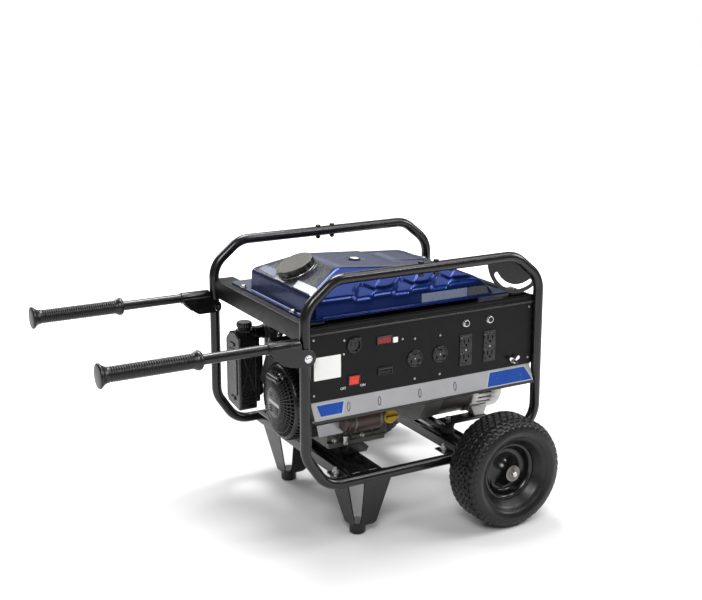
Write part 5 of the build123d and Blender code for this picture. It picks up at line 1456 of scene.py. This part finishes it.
    def build(self) -> None:
        """Make the pieces of the panel."""
        place("double_outlets", joined([self.duplex(x) for x in self.duplexes]), "outlet",
              crease=50, replaces=("duplex_outlets",))
        place("locking_outlets", joined([self.twist_lock(x) for x in self.twist_locks]), "outlet",
              crease=50)
        place("round_socket", self.dc_socket(), "outlet", bevel=0.3,
              replaces=("round_outlets",))
        place("panel_screws", self.screws(), "zinc", crease=40)
        place("outlet_screws", self.outlet_screws(), "zinc", crease=40)
        bezel, lens = self.meter()
        place("meter_bezel", bezel, "outlet", replaces=("hour_meter",))
        place("meter_lens", lens, "ruby", bevel=0.3)
        button, label = self.plate(237.5, 323, 13, 13, 1.6, 0.5), self.plate(58.5, 283, 69, 54, 0.6, 0.2)
        place("meter_button", button, "white", bevel=0.5)
        place("reset_nuts", self.buttons(), "chrome", crease=50)
        place("panel_label", label, "label", bevel=0.15)
        for name, shell, look in self.badges():
            place(name, shell, look)
        icons = joined([self.icon(x) for x in (108, 190, 301, 401)])
        place("apron_icons", icons, "decal")
        apron_lip, head, shelf, lip = self.sheets()
        place("apron_lip", apron_lip, "frame")
        place("panel_head", head, "panel")
        place("panel_shelf", shelf, "frame", bevel=0.6)
        place("panel_lip", lip, "frame")
        place("earth_wing_nut", self.wing_nut(), "chrome", "wing_nut", crease=50,
              replaces=("wing_nut",))
        for name, word, x in (("switch_off", "OFF", 99), ("switch_on", "ON", 151)):
            self.text(name, word, x, 227, 8.5)


# ---- power unit ----
def around(shell: Shell, count: int, origin: Point, axis: Point) -> Shell:
    """Copies set evenly round an axis: u' = u cos t - v sin t and v' = u sin t + v cos t."""
    base = axis_frame(axis)
    local = (shell.verts - np.array(origin, float)) @ base.T
    t = np.arange(count)[:, None] * TAU / count
    u = np.cos(t) * local[:, 0] - np.sin(t) * local[:, 1]
    v = np.sin(t) * local[:, 0] + np.cos(t) * local[:, 1]
    turned = np.stack([u, v, np.broadcast_to(local[:, 2], u.shape)], -1).reshape(-1, 3)
    offsets = np.arange(count)[:, None, None] * len(shell.verts)
    faces = [(group[None] + offsets).reshape(-1, group.shape[1]) for group in shell.faces]
    return Shell(turned @ base + np.array(origin, float), faces)


def spring(start: Point, end: Point, radius: float, wire: float, turns: float) -> Shell:
    """Coil spring: the wire follows radius (cos t u + sin t v) while it runs along the axis."""
    a, b = np.array(start, float), np.array(end, float)
    u, v, _ = axis_frame(tuple(b - a))
    t = np.linspace(0, 1, int(turns * 14))[:, None]
    path = a + t * (b - a) + radius * (np.cos(t * TAU * turns) * u + np.sin(t * TAU * turns) * v)
    return pipe(path, wire, 6, across=tuple((b - a).tolist()))


def slanted(x0: float, z0: float, x1: float, z1: float, width: float) -> Array:
    """Outline of a straight rib of the given width between two points."""
    run = np.array([x1 - x0, z1 - z0])
    off = np.array([-run[1], run[0]]) / np.linalg.norm(run) * width / 2
    a, b = np.array([x0, z0]), np.array([x1, z1])
    return np.array([a - off, b - off, b + off, a + off])


@dataclass
class Starter:
    """Recoil starter: louvred cup on the blower, its grip and the rope.

    Args:
        face: X of the cup's outer face.
        depth: depth of the cup.
        radius: outer radius of the cup.
        plain: radius of the plain disc in the middle.
        guide: Y and Z of the rope guide.
        fins: radial fins on the face.
        teeth: ribs round the rim.
    """
    face: float = 18.0
    depth: float = 42.0
    radius: float = 92.0
    plain: float = 38.0
    guide: Point = (14.0, -92.0, 222.0)
    fins: int = 52
    teeth: int = 52

    @property
    def middle(self) -> Point:
        """Centre of the cup's face."""
        return (self.face, *CRANK)

    def cup(self) -> Shell:
        """Shallow cup: plain disc, a sunken ring for the fins and the side wall, turned about the crank."""
        p, r = self.plain, self.radius
        profile = [(0.2, 0), (p - 2, 0), (p, 0.8), (p + 1, 6), (r - 8, 19), (r - 7, 14), (r - 4, 15),
                   (r - 1.4, 18.5), (r, 24), (r, self.depth), (r - 3, self.depth), (r - 3, 25), (r - 8, 22),
                   (p + 1, 9), (0.2, 3)]
        return lathe(profile, self.middle, RIGHT, 120)

    def blades(self, section: list[Pair], thick: float, count: int) -> Shell:
        """Plates set evenly round the crank, their outline given from the face and from the crank's axis."""
        y, z = CRANK
        outline = np.array(section, float) + (self.face, z)
        return around(outline_plate(outline, y - thick / 2, y + thick / 2), count, self.middle, RIGHT)

    def louvres(self) -> Shell:
        """Radial fins over the sunken ring, tied by three thin rings."""
        p, r = self.plain, self.radius
        fins = self.blades([(0.4, p), (5, 64), (13, r - 7), (20, r - 7), (8, p)], 2.2, self.fins)
        rings = [lathe([(a, h), (a + 1.8, h + 0.5), (a + 1.8, h + 6), (a, h + 6)], self.middle, RIGHT, 96,
                       closed=True) for a, h in ((50, 3), (62, 5.6), (74, 9.6))]
        return joined([fins, *rings])

    def rim_ribs(self) -> Shell:
        """Ribs along the side wall, standing out of it."""
        r = self.radius
        return self.blades([(19, r - 3), (24, r + 3.6), (56, r + 5), (60, r - 1)], 3.0, self.teeth)

    def slits(self) -> Shell:
        """Small raised louvre blades in two columns on the plain disc."""
        x, (y, z) = self.face, CRANK
        return joined([bar((x - 1.4, y + off - 8, z + 6.5 * i), (x + 0.6, y + off + 8, z + 6.5 * i + 2.2))
                       for i in (-4, -3, -2, 2, 3) for off in (-15, 15)])

    def strip(self) -> Shell:
        """Bare name strip across the middle of the disc."""
        x, (y, z) = self.face, CRANK
        return outline_plate(rounded([(y - 32, z - 6), (y + 24, z - 2), (y + 24, z + 6), (y - 32, z + 2)],
                                     1.2, 4),
                             x - 1.2, x + 0.4, "yz")

    def grip(self) -> Shell:
        """T grip: a waisted bar with rounded ends on a fluted neck that seats in the guide."""
        x, y, z = self.guide
        h = np.linspace(-31, 31, 41)
        waist = 8.6 - 1.6 * np.cos(h / 31 * math.pi / 2) ** 2
        waist = waist * np.sqrt(np.clip(1 - np.clip((np.abs(h) - 25) / 6.2, 0, 1) ** 2, 0.0025, 1))
        cross = lathe(np.column_stack([waist, h]), (x - 13.4, y, z), BACK, 32)
        neck = lathe([(0.2, -0.4), (6.6, -0.4), (7.4, 1.4), (6.4, 4), (6.8, 8), (8.2, 12), (0.2, 13)],
                     (x - 0.4, y, z), LEFT, 32)
        return cross + neck

    def eyelet(self) -> Shell:
        """Rolled metal eyelet of the rope guide."""
        x, y, z = self.guide
        return lathe([(3.2, 6), (3.2, 0), (4.4, -1.2), (7.4, -1.2), (8.8, 0.2), (8.8, 6)], (x, y, z), RIGHT,
                     40, closed=True)

    def rope(self) -> Shell:
        """Three-strand rope from the drum to the grip: the strands wind once every 9 mm about its line."""
        x, y, z = self.guide
        length, lay, offset, strand = 31, 9, 1.1, 1.25
        t = np.linspace(0, 1, 60)
        ropes = []
        for phase in range(3):
            angle = t * length / lay * TAU + phase * TAU / 3
            wind = offset * np.column_stack([np.zeros(len(t)), np.cos(angle), np.sin(angle)])
            line = np.array([x + 30, y, z]) - length * t[:, None] * np.array(RIGHT)
            ropes.append(pipe(line + wind, strand, 8, across=UP))
        return joined(ropes)

    def build(self) -> None:
        """Make the starter's pieces."""
        place("starter_cup", self.cup(), "moulding", crease=40, replaces=("recoil_cover",))
        for name, shell in (("starter_louvres", self.louvres()), ("starter_rim_ribs", self.rim_ribs()),
                            ("starter_disc_blades", self.slits())):
            place(name, shell, "moulding")
        place("starter_strip", self.strip(), "pale")
        place("rope_eyelet", self.eyelet(), "zinc")
        place("starter_grip", self.grip(), "moulding", "pull_grip", crease=50,
              replaces=("pull_grip",))
        rope = place("starter_rope", self.rope(), "rope", None, crease=60)
        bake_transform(rope)


@dataclass
class AirCleaner:
    """Air cleaner: moulded cover with crossed ribs, cooling slots and a fluted knob.

    Args:
        x: extent along X.
        y: extent along Y.
        z: extent along Z.
        knob: X and Y of the knob on top.
        intake: Y and Z of the carburettor's throat.
    """
    x: Pair = (8.0, 57.0)
    y: Pair = (124.0, 206.0)
    z: Pair = (66.0, 290.0)
    knob: Pair = (38.0, 156.0)
    intake: Pair = (158.0, 262.0)

    def cover(self) -> Shell:
        """Cover: its rounded side outline carried across the width."""
        (y0, y1), (z0, z1) = self.y, self.z
        corners = [(y0, z0 + 2), (y1 - 10, z0 + 12), (y1, z0 + 26), (y1, z1 - 44), (y1 - 22, z1 - 22),
                   (y0 + 26, z1 - 16), (y0, z1 - 30)]
        return outline_plate(rounded(corners, [9, 8, 8, 9, 9, 9, 9], 7), *self.x, "yz")

    def ribs(self) -> Shell:
        """Crossed ribs, a frame round them and the bars between the cooling slots, on the front face."""
        (x0, x1), front, z0 = self.x, self.y[0], self.z[0]
        low, high = z0 + 52, z0 + 168
        pieces = [outline_plate(slanted(x0 + 6, low, x1 - 6, high, 4.5), front - 3.2, front + 1),
                  outline_plate(slanted(x0 + 6, high, x1 - 6, low, 4.5), front - 3.0, front + 1)]
        for x in (x0 + 4, x1 - 4):
            pieces.append(bar((x - 1.6, front - 2.4, z0 + 8), (x + 1.6, front + 1, z0 + 182)))
        for z in (z0 + 46, z0 + 170):
            pieces.append(bar((x0 + 3, front - 2.4, z), (x1 - 3, front + 1, z + 3)))
        for i in range(4):
            pieces.append(bar((x0 + 5, front - 2.8, z0 + 10 + 9 * i), (x1 - 5, front + 1, z0 + 15 + 9 * i)))
        return joined(pieces)

    def side_panel(self) -> Shell:
        """Raised field on the outer face with a clip recess at each end."""
        (y0, y1), (z0, z1) = self.y, self.z
        x, y = self.x[0], (y0 + y1) / 2
        field = rounded([(y0 + 14, z0 + 40), (y1 - 16, z0 + 40), (y1 - 16, z1 - 66), (y0 + 14, z1 - 60)], 8,
                        6)
        clips = [outline_plate(box_outline(y, z, 26, 9, 2.5), x - 3.4, x + 1, "yz")
                 for z in (z0 + 30, z1 - 52)]
        return joined([outline_plate(field, x - 2.4, x + 1, "yz"), *clips])

    def knob_shape(self) -> Shell:
        """Fluted knob on a fluted collar: a 20-lobed wave takes up to 8 % off the profile's radius."""
        x, y = self.knob
        base = self.z[1] - 23
        profile = np.array([(0.2, 0), (20, 0), (22, 2), (22, 8), (17, 10), (16.4, 14), (19, 15), (20, 17),
                            (20, 25), (18, 28), (0.2, 29)])
        t = np.linspace(0, TAU, 120, endpoint=False)
        wave = 1 - 0.08 * (0.5 + 0.5 * np.cos(20 * t)) * (profile[:, :1] > 18.5)
        r = profile[:, :1] * wave
        h = np.broadcast_to(base + profile[:, 1:], r.shape)
        points = np.stack([x + r * np.cos(t), y + r * np.sin(t), h], -1)
        return grid(points, wrap_v=True, cap_u=True)

    def back_plate(self) -> Shell:
        """Back plate that the cover closes on, with its flange."""
        (y0, y1), (z0, z1) = self.y, self.z
        outline = rounded([(y0, z0 + 20), (y1, z0 + 26), (y1, z1 - 44), (y1 - 22, z1 - 30), (y0, z1 - 30)],
                          8, 6)
        return outline_plate(outline, self.x[1] + 0.3, self.x[1] + 8, "yz")

    def elbow(self) -> Shell:
        """Intake sleeve from the back plate to the carburettor, with a rolled bead at each end."""
        profile = [(13, 0), (17.6, 0), (18, 1.4), (17.6, 2.8), (16.4, 3.4), (16.4, 23), (18, 24), (18, 27),
                   (13, 27)]
        return lathe(profile, (self.x[1] + 7, *self.intake), RIGHT, 48, closed=True)

    def bracket(self) -> Shell:
        """Pressed stay that holds the back plate to the crankcase, and its two bolts."""
        x, y = self.x[1], self.y[0] + 40
        outline = rounded([(x, 84), (x + 34, 92), (x + 34, 210), (x + 22, 226), (x, 232)], 7, 6)
        bolts = [hex_head(6, 4.4, (x + 18, y - 2, z), FRONT) for z in (112, 192)]
        return joined([outline_plate(outline, y - 2, y + 2), *bolts])

    def build(self) -> None:
        """Make the air cleaner."""
        place("air_cleaner_stay", self.bracket(), "frame", crease=30)
        place("air_cleaner_shell", self.cover(), "moulding", bevel=4.0, segments=4,
              replaces=("air_cleaner_cover",))
        place("air_cleaner_ribs", self.ribs(), "moulding", bevel=0.7)
        place("air_cleaner_side_panel", self.side_panel(), "moulding", bevel=1.0)
        place("air_cleaner_back", self.back_plate() + self.elbow(), "moulding",
              crease=40, replaces=("air_cleaner_base",))
        place("air_cleaner_knob", self.knob_shape(), "moulding", crease=50)


@dataclass
class Carburettor:
    """Carburettor with its float bowl, flanges, screws and governor linkage.

    Args:
        centre: middle of the throat.
        bore: radius of the throat.
    """
    centre: Point = (112.0, 158.0, 262.0)
    bore: float = 11.0

    def body(self) -> Shell:
        """Throat, mixing chamber and flanges."""
        x, y, z = self.centre
        throat = lathe([(self.bore, -21), (18, -21), (18, -17), (14.5, -14), (14.5, 14), (18, 17), (18, 21),
                        (self.bore, 21)], (x, y, z), RIGHT, 48, closed=True)
        block = outline_plate(box_outline(x, z, 26, 34, 5), y - 19, y + 19)
        flange = rounded([(y - 24, z), (y - 13, z - 15), (y + 13, z - 15), (y + 24, z), (y + 13, z + 15),
                          (y - 13, z + 15)], 6, 6)
        flanges = [outline_plate(flange, x + off - 2, x + off + 2, "yz") for off in (-21, 21)]
        boss = lathe([(0.2, -2), (6.6, -2), (6.6, 6), (5, 9), (3.2, 9), (3.2, 14), (0.2, 14)],
                     (x - 6, y, z + 15), UP, 28)
        spigot = lathe([(4, 0), (4, 5), (5, 6.4), (4, 8)], (x - 4, y - 18, z + 4), FRONT, 20)
        return joined([throat, block, *flanges, boss, spigot])

    def bowl(self) -> Shell:
        """Float bowl: straight cup with a rolled rim, and its drain bolt."""
        x, y, z = self.centre
        cup = lathe([(18.6, 0), (18.6, 2.6), (17, 3.4), (16.8, 22), (14.5, 26), (6, 28), (0.2, 28)],
                    (x, y, z - 16), DOWN, 48)
        return cup + hex_head(5.5, 4.5, (x, y, z - 44), DOWN)

    def linkage(self) -> Shell:
        """Governor rod, its spring, the idle screw and the throttle plate on the manifold."""
        x, y, z = self.centre
        rod = pipe(smooth_path([(x + 10, y - 24, z + 8), (x + 34, y - 36, z + 9), (x + 70, y - 44, z + 12),
                                (x + 92, y - 52, z + 14)], 8), 1.2, 8)
        coil = spring((x + 14, y - 28, z + 10), (x + 60, y - 36, z + 11), 3.4, 0.6, 14)
        screw = lathe([(0.2, 0), (3.6, 0), (3.6, 3), (1.8, 3), (1.8, 14), (0.2, 14)], (x + 9, y - 24, z + 8),
                      BACK, 16)
        idle = spring((x + 9, y - 20, z + 8), (x + 9, y - 11, z + 8), 2.8, 0.5, 6)
        plate = rounded([(x + 4, z + 1), (x + 48, z + 1), (x + 58, z + 7), (x + 50, z + 14),
                         (x + 4, z + 14)], 3, 5)
        return joined([rod, coil, screw, idle, outline_plate(plate, y - 22.4, y - 20.8)])

    def build(self) -> None:
        """Make the carburettor."""
        place("carburettor_body", self.body(), "aluminium", bevel=0.8, crease=40,
              replaces=("carburettor",))
        place("float_bowl", self.bowl(), "bell", crease=40)
        place("governor_linkage", self.linkage(), "zinc", crease=50)


@dataclass
class Alternator:
    """Rear end of the alternator: vented bell, bearing cap, tie bolts and the black mounting plate.

    Args:
        start: X of the joint with the stator.
        end: X of the closed face.
        half: half the width of the rounded square.
        corner: its corner radius.
        wall: wall thickness.
        pitch: spacing of the cooling slots.
        vent: X extent of the slots.
        plate_z: heights of the mounting plate.
        mounts: Y of the two rubber mounts.
        mount_x: X of the two rubber mounts.
    """
    start: float = 532.0
    end: float = 632.0
    half: float = 98.0
    corner: float = 62.0
    wall: float = 4.5
    pitch: float = 13.0
    vent: Pair = (552.0, 592.0)
    plate_z: Pair = (38.0, 45.0)
    mounts: Pair = (-126.0, 26.0)
    mount_x: float = 474.0

    def outline(self, half: float, corner: float) -> tuple[Array, Array]:
        """Stations round the bell, two to a pitch, and which of the spans between them may be a slot."""
        curve = box_outline(*CRANK, 2 * half, 2 * half, corner, 40)
        closed, along = walked(curve)
        count = int(round(along[-1] / self.pitch))
        starts = np.arange(count) * along[-1] / count
        s = np.column_stack([starts, starts + 0.4 * along[-1] / count]).reshape(-1)
        points = np.column_stack([np.interp(s, along, closed[:, i]) for i in range(2)])
        return points, np.arange(len(s)) % 2 == 0

    def bell(self) -> Shell:
        """Rounded square cup: rows of the outline along X, drawn in on a quarter circle at the closed end.

        The quads between the two vent rows are left out where the outline's spans are slots, above the feet.
        """
        points, slot = self.outline(self.half, self.corner)
        centre = np.array(CRANK)
        t = np.linspace(0, math.pi / 2, 6)[1:]
        turn = 14.0
        bend = self.end - turn
        xs = np.concatenate([[self.start, self.start + 4, *self.vent, bend], bend + turn * np.sin(t),
                             [self.end, self.end - 3, self.end - 3, self.end]])
        scale = np.concatenate([np.ones(5), 1 - turn / self.half * (1 - np.cos(t)), [0.62, 0.58, 0.42, 0.38]])
        flat = centre + (points - centre) * scale[:, None, None]
        rows = np.concatenate([np.broadcast_to(xs[:, None, None], (*flat.shape[:2], 1)), flat], -1)
        shell = grid(rows, wrap_v=True)
        quads = shell.faces[0].reshape(len(xs) - 1, len(points), 4)
        keep = np.ones(quads.shape[:2], bool)
        keep[2, slot & (points[:, 1] > CRANK[1] - 62)] = False
        lid = np.arange(len(points))[None] + (len(xs) - 1) * len(points)
        return Shell(shell.verts, [quads[keep], lid])

    def cap(self) -> Shell:
        """Stepped bearing cap in the middle of the closed face."""
        origin = (self.end - 4, *CRANK)
        return lathe([(40, 0), (40, 3), (30, 3.4), (28, 4), (26, 4), (22, 3.6), (0.2, 3.4)], origin, RIGHT,
                     56)

    def tie_bolts(self) -> Shell:
        """Four tie bolts at the corners of the closed face."""
        y, z = CRANK
        x, reach = self.end - 3.6, (-58, 58)
        return joined([hex_head(7, 3.4, (x, y + a, z + b), RIGHT) for a in reach for b in reach])

    def lugs(self) -> Shell:
        """Tapered cast feet from the bell down to the mounting plate."""
        x, z = self.start, self.plate_z[1]
        side = [(x + 2, z + 28), (x + 54, z + 28), (x + 44, z), (x + 14, z)]
        return joined([outline_plate(side, y - 14, y + 14) for y in self.mounts])

    def plate(self) -> Shell:
        """Mounting plate: two flats along X, tied by a third at their right ends."""
        x0, x1, (z0, z1) = self.mount_x - 22, self.start + 50, self.plate_z
        y0, y1 = self.mounts[0] - 20, self.mounts[1] + 20
        return joined([bar((x0, y0, z0), (x1, y0 + 40, z1)), bar((x0, y1 - 40, z0), (x1, y1, z1)),
                       bar((x1 - 22, y0 + 38, z0 + 2), (x1, y1 - 38, z1))])

    def build(self) -> None:
        """Make the pieces of the end frame."""
        bell = place("alternator_bell", self.bell(), "bell", crease=40,
                     replaces=("end_bell",))
        wall = bell.modifiers.new("wall", "SOLIDIFY")
        wall.thickness, wall.offset = self.wall / 1000, -1.0
        place("bearing_cap", self.cap(), "bell")
        place("tie_bolts", self.tie_bolts(), "zinc")
        place("alternator_lugs", self.lugs(), "bell", bevel=1.5)
        place("alternator_plate", self.plate(), "frame", bevel=1.0)


@dataclass
class EngineDetails:
    """Fasteners, plugs and plates that stand on the crankcase and the base.

    Args:
        front: Y of the crankcase's front wall.
        side_bolts: X and Z of the cover bolts.
        drain: X and Z of the drain boss.
        rail_lugs: X of the lugs welded inside the front rail.
    """
    front: float = -132.0
    side_bolts: tuple[Pair, ...] = ((136, 56), (214, 56), (131, 128), (176, 140), (262, 128))
    drain: Pair = (162.0, -146.0)
    rail_lugs: Pair = (95.0, 398.0)

    def cover(self) -> Shell:
        """Raised gasket flange of the side cover on the front wall."""
        ring = rounded([(126, 50), (276, 50), (276, 118), (246, 146), (156, 146), (126, 118)], 12, 8)
        inner = (ring - ring.mean(0)) * (0.9, 0.82) + ring.mean(0)
        rows = [raised(line, self.front + off)
                for line, off in ((ring, 1), (ring, -5), (inner, -5), (inner, 1))]
        return grid(np.stack(rows), wrap_u=True, wrap_v=True)

    def bolts(self) -> Shell:
        """Flanged bolts round the cover."""
        heads = []
        for x, z in self.side_bolts:
            heads.append(lathe([(6, 0), (6, 1), (4.4, 1.8)], (x, self.front - 5, z), FRONT, 28))
            heads.append(hex_head(4.2, 5.0, (x, self.front - 6, z), FRONT))
        return joined(heads)

    def drain_plug(self) -> Shell:
        """Upright drain stub on the foot flange, with its elbow into the case and a hexagon plug."""
        x, y = self.drain
        stub = lathe([(6.4, 0), (6.4, 3), (5, 3.6), (5, 14), (6, 15), (6, 18), (5, 19), (0.2, 19)],
                     (x, y, 48), UP, 32)
        elbow = lathe([(5, 0), (5, 16), (0.2, 16)], (x, y, 60), BACK, 24)
        return joined([stub, elbow, hex_head(6.4, 5, (x, y, 48.4), DOWN)])

    def starter_motor(self) -> tuple[Shell, Shell, Shell]:
        """Starter: the drawn barrel, its banded end caps with through bolts, and the pale plate beside it."""
        y, z, r = -165.0, 113.0, 31.0
        barrel = lathe([(0.2, 0), (r - 8, 0), (r - 5, 2), (r - 5, 8), (r - 1, 11), (r, 13), (r, 94),
                        (r - 1, 95), (0.2, 95)], (142, y, z), RIGHT, 72)
        cap = lathe([(0.2, 0), (r + 0.8, 0), (r + 0.8, 6), (r - 1, 7), (r - 4, 8), (r - 6, 13), (0.2, 14)],
                    (231, y, z), RIGHT, 72)
        band = lathe([(r, 0), (r + 1.2, 1), (r + 1.2, 4), (r, 5)], (164, y, z), RIGHT, 72)
        bolts = [hex_head(4.2, 4, (245, y + 14 * side, z + 14 * side), RIGHT) for side in (-1, 1)]
        plate = outline_plate(rounded([(82, 108), (160, 108), (152, 78), (88, 78)], 2, 4), -152.6, -150.4)
        return barrel, joined([cap, band, *bolts]), plate

    def mount_brackets(self) -> Shell:
        """Folded stop bracket over the front rubber mount of the engine."""
        side = rounded([(174, 40), (214, 40), (232, 24), (226, 13.4), (170, 13.4)], [2, 3, 2, 1, 1], 4)
        return outline_plate(side, -140, -137) + bar((174, -140, 37), (214, -97, 40))

    def base_beams(self) -> Shell:
        """Wide pressed channels with two rounded beads sunk along the top, carried from rail to rail."""
        beams = []
        for x0, x1 in ((112.0, 207.0), (436.0, 503.0)):
            w = x1 - x0
            dips = [x0 + 0.27 * w, x0 + 0.73 * w]
            over = [(x0, -13), (x0, 13)]
            under = [(x0 + 2.5, -13), (x0 + 2.5, 10.5)]
            for c in dips:
                over += [(c - 10, 13), (c - 5, 7.6), (c + 5, 7.6), (c + 10, 13)]
                under += [(c - 9.4, 10.5), (c - 4.6, 5.1), (c + 4.6, 5.1), (c + 9.4, 10.5)]
            outline = rounded([*over, (x1, 13), (x1, -13), (x1 - 2.5, -13), (x1 - 2.5, 10.5), *under[:1:-1],
                               under[1], under[0]],
                              [0.5, 4] + [3] * 8 + [4, 0.5, 0.5, 1.5] + [1.5] * 8 + [1.5, 0.5], 5)
            beams.append(outline_plate(outline, -HALF_WIDTH + 2, HALF_WIDTH - 2))
        return joined(beams)

    def lugs(self) -> Shell:
        """Small flat lugs welded to the front rail."""
        y0, y1 = -HALF_WIDTH + 6, -HALF_WIDTH + 52
        return joined([bar((x - 14, y0, 8), (x + 14, y1, 12)) for x in self.rail_lugs])

    def lug_bolts(self) -> Shell:
        """Bolt, washer and nut through each lug."""
        pieces = []
        for x in self.rail_lugs:
            y = -HALF_WIDTH + 36
            pieces += [lathe([(9, -0.2), (9, 1.6), (0.2, 1.6)], (x, y, 12), UP, 28),
                       hex_head(7.2, 6.5, (x, y, 13.4), UP),
                       lathe([(3.8, 0), (3.8, 6), (3.2, 7), (0.2, 7)], (x, y, 19.5), UP, 20)]
        return joined(pieces)

    def mount_nuts(self) -> Shell:
        """Flange nuts on the studs of the rubber mounts."""
        studs = ((188, -118, 50), (188, 42, 50), (474, -126, 46), (474, 26, 46))
        return joined([hex_head(7.5, 6.5, stud, UP) for stud in studs])

    def build(self) -> None:
        """Make the details."""
        place("crankcase_cover_flange", self.cover(), "crankcase", bevel=0.8)
        place("crankcase_bolts", self.bolts(), "zinc")
        place("drain_stub", self.drain_plug(), "zinc")
        barrel, caps, plate = self.starter_motor()
        place("starter_motor_barrel", barrel, "starter", crease=40,
              replaces=("starter_motor",))
        place("starter_motor_caps", caps, "iron", crease=40)
        place("engine_plate", plate, "pale", bevel=0.3)
        place("mount_brackets", self.mount_brackets(), "frame", bevel=0.8)
        place("base_channels", self.base_beams(), "frame", replaces=("base_beams",))
        place("rail_lugs", self.lugs(), "frame", bevel=0.8)
        place("rail_lug_bolts", self.lug_bolts(), "zinc")
        place("mount_nuts", self.mount_nuts(), "zinc")


class Leads:
    """Fuel hose and plug lead: smooth curves through the free space between their two ends."""

    FUEL_ROUTE = ((136, 60, 327), (108, 60, 327), (108, 84, 266), (108, 98, 266))
    PLUG_ROUTE = ((141, 76, 293), (141, 62, 306), (112, 40, 306), (100, 10, 260))

    def curve(self, name: str, route: tuple[Point, ...], radius: float, node: str) -> bpy.types.Object:
        """Round hose whose centre line is the spline that the route's points control.

        Args:
            name: name of the piece.
            route: control points in millimetres from the datum.
            radius: outer radius.
            node: the node that it stands for.

        Returns:
            The curve object.
        """
        data = bpy.data.curves.new(name, "CURVE")
        data.dimensions, data.bevel_depth = "3D", radius / 1000
        data.bevel_resolution, data.resolution_u, data.use_fill_caps = 6, 24, True
        spline = data.splines.new("NURBS")
        spline.points.add(len(route) - 1)
        points = np.column_stack([to_frame(np.array(route, float)), np.ones(len(route))])
        spline.points.foreach_set("co", points.reshape(-1))
        spline.order_u, spline.use_endpoint_u = 3, True
        data.materials.append(material_of("rubber"))
        obj = bpy.data.objects.new(name, data)
        bpy.context.scene.collection.objects.link(obj)
        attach(obj, "frame")
        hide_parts(node)
        return obj

    def boot(self) -> Shell:
        """Ribbed spark plug boot with a bell mouth."""
        start, end = np.array((141.0, 98.0, 265.0)), np.array((141.0, 72.0, 298.6))
        length = float(np.linalg.norm(end - start))
        profile = [(0.2, 0), (10.5, 0), (11, 2), (10, 5), (8.6, 8), (8.6, 14), (9.2, 15), (8.6, 16),
                   (8.6, 19), (9.2, 20), (8.6, 21), (8.4, length - 9), (6.4, length - 3), (4.4, length),
                   (0.2, length)]
        return lathe(profile, tuple(start), tuple(end - start), 32)

    def clamps(self) -> Shell:
        """Wire clamps round both ends of the fuel hose."""
        (x0, y0, z0), (x1, y1, z1) = self.FUEL_ROUTE[0], self.FUEL_ROUTE[-1]
        ring = [(5.7, -2.2), (6.5, -2.2), (6.5, 2.2), (5.7, 2.2)]
        return joined([lathe(ring, (x0 - 5, y0, z0), RIGHT, 28, closed=True),
                       lathe(ring, (x1, y1 - 5, z1), BACK, 28, closed=True)])

    def build(self) -> None:
        """Make both leads and what is fitted on them."""
        hose = self.curve("fuel_line", self.FUEL_ROUTE, 5.5, "fuel_hose")
        lead = self.curve("ignition_lead", self.PLUG_ROUTE, 3.5, "plug_lead")
        boot = place("plug_boot", self.boot(), "rubber", crease=50)
        place("hose_clamps", self.clamps(), "zinc")


def main() -> None:
    """Build the machine, sub-assembly by sub-assembly."""
    logging.basicConfig(level=logging.INFO, format="%(name)s %(message)s")
    Studio().build()
    dress_cad()
    TubeFrame().build()
    for side in (-1, 1):
        Wheel().build(side)
        Handle().build(side)
    for part in (TankSupport, FuelTank, ControlPanel, Starter, AirCleaner, Carburettor, Alternator,
                 EngineDetails, Leads):
        part().build()


if __name__ == "__main__":
    main()
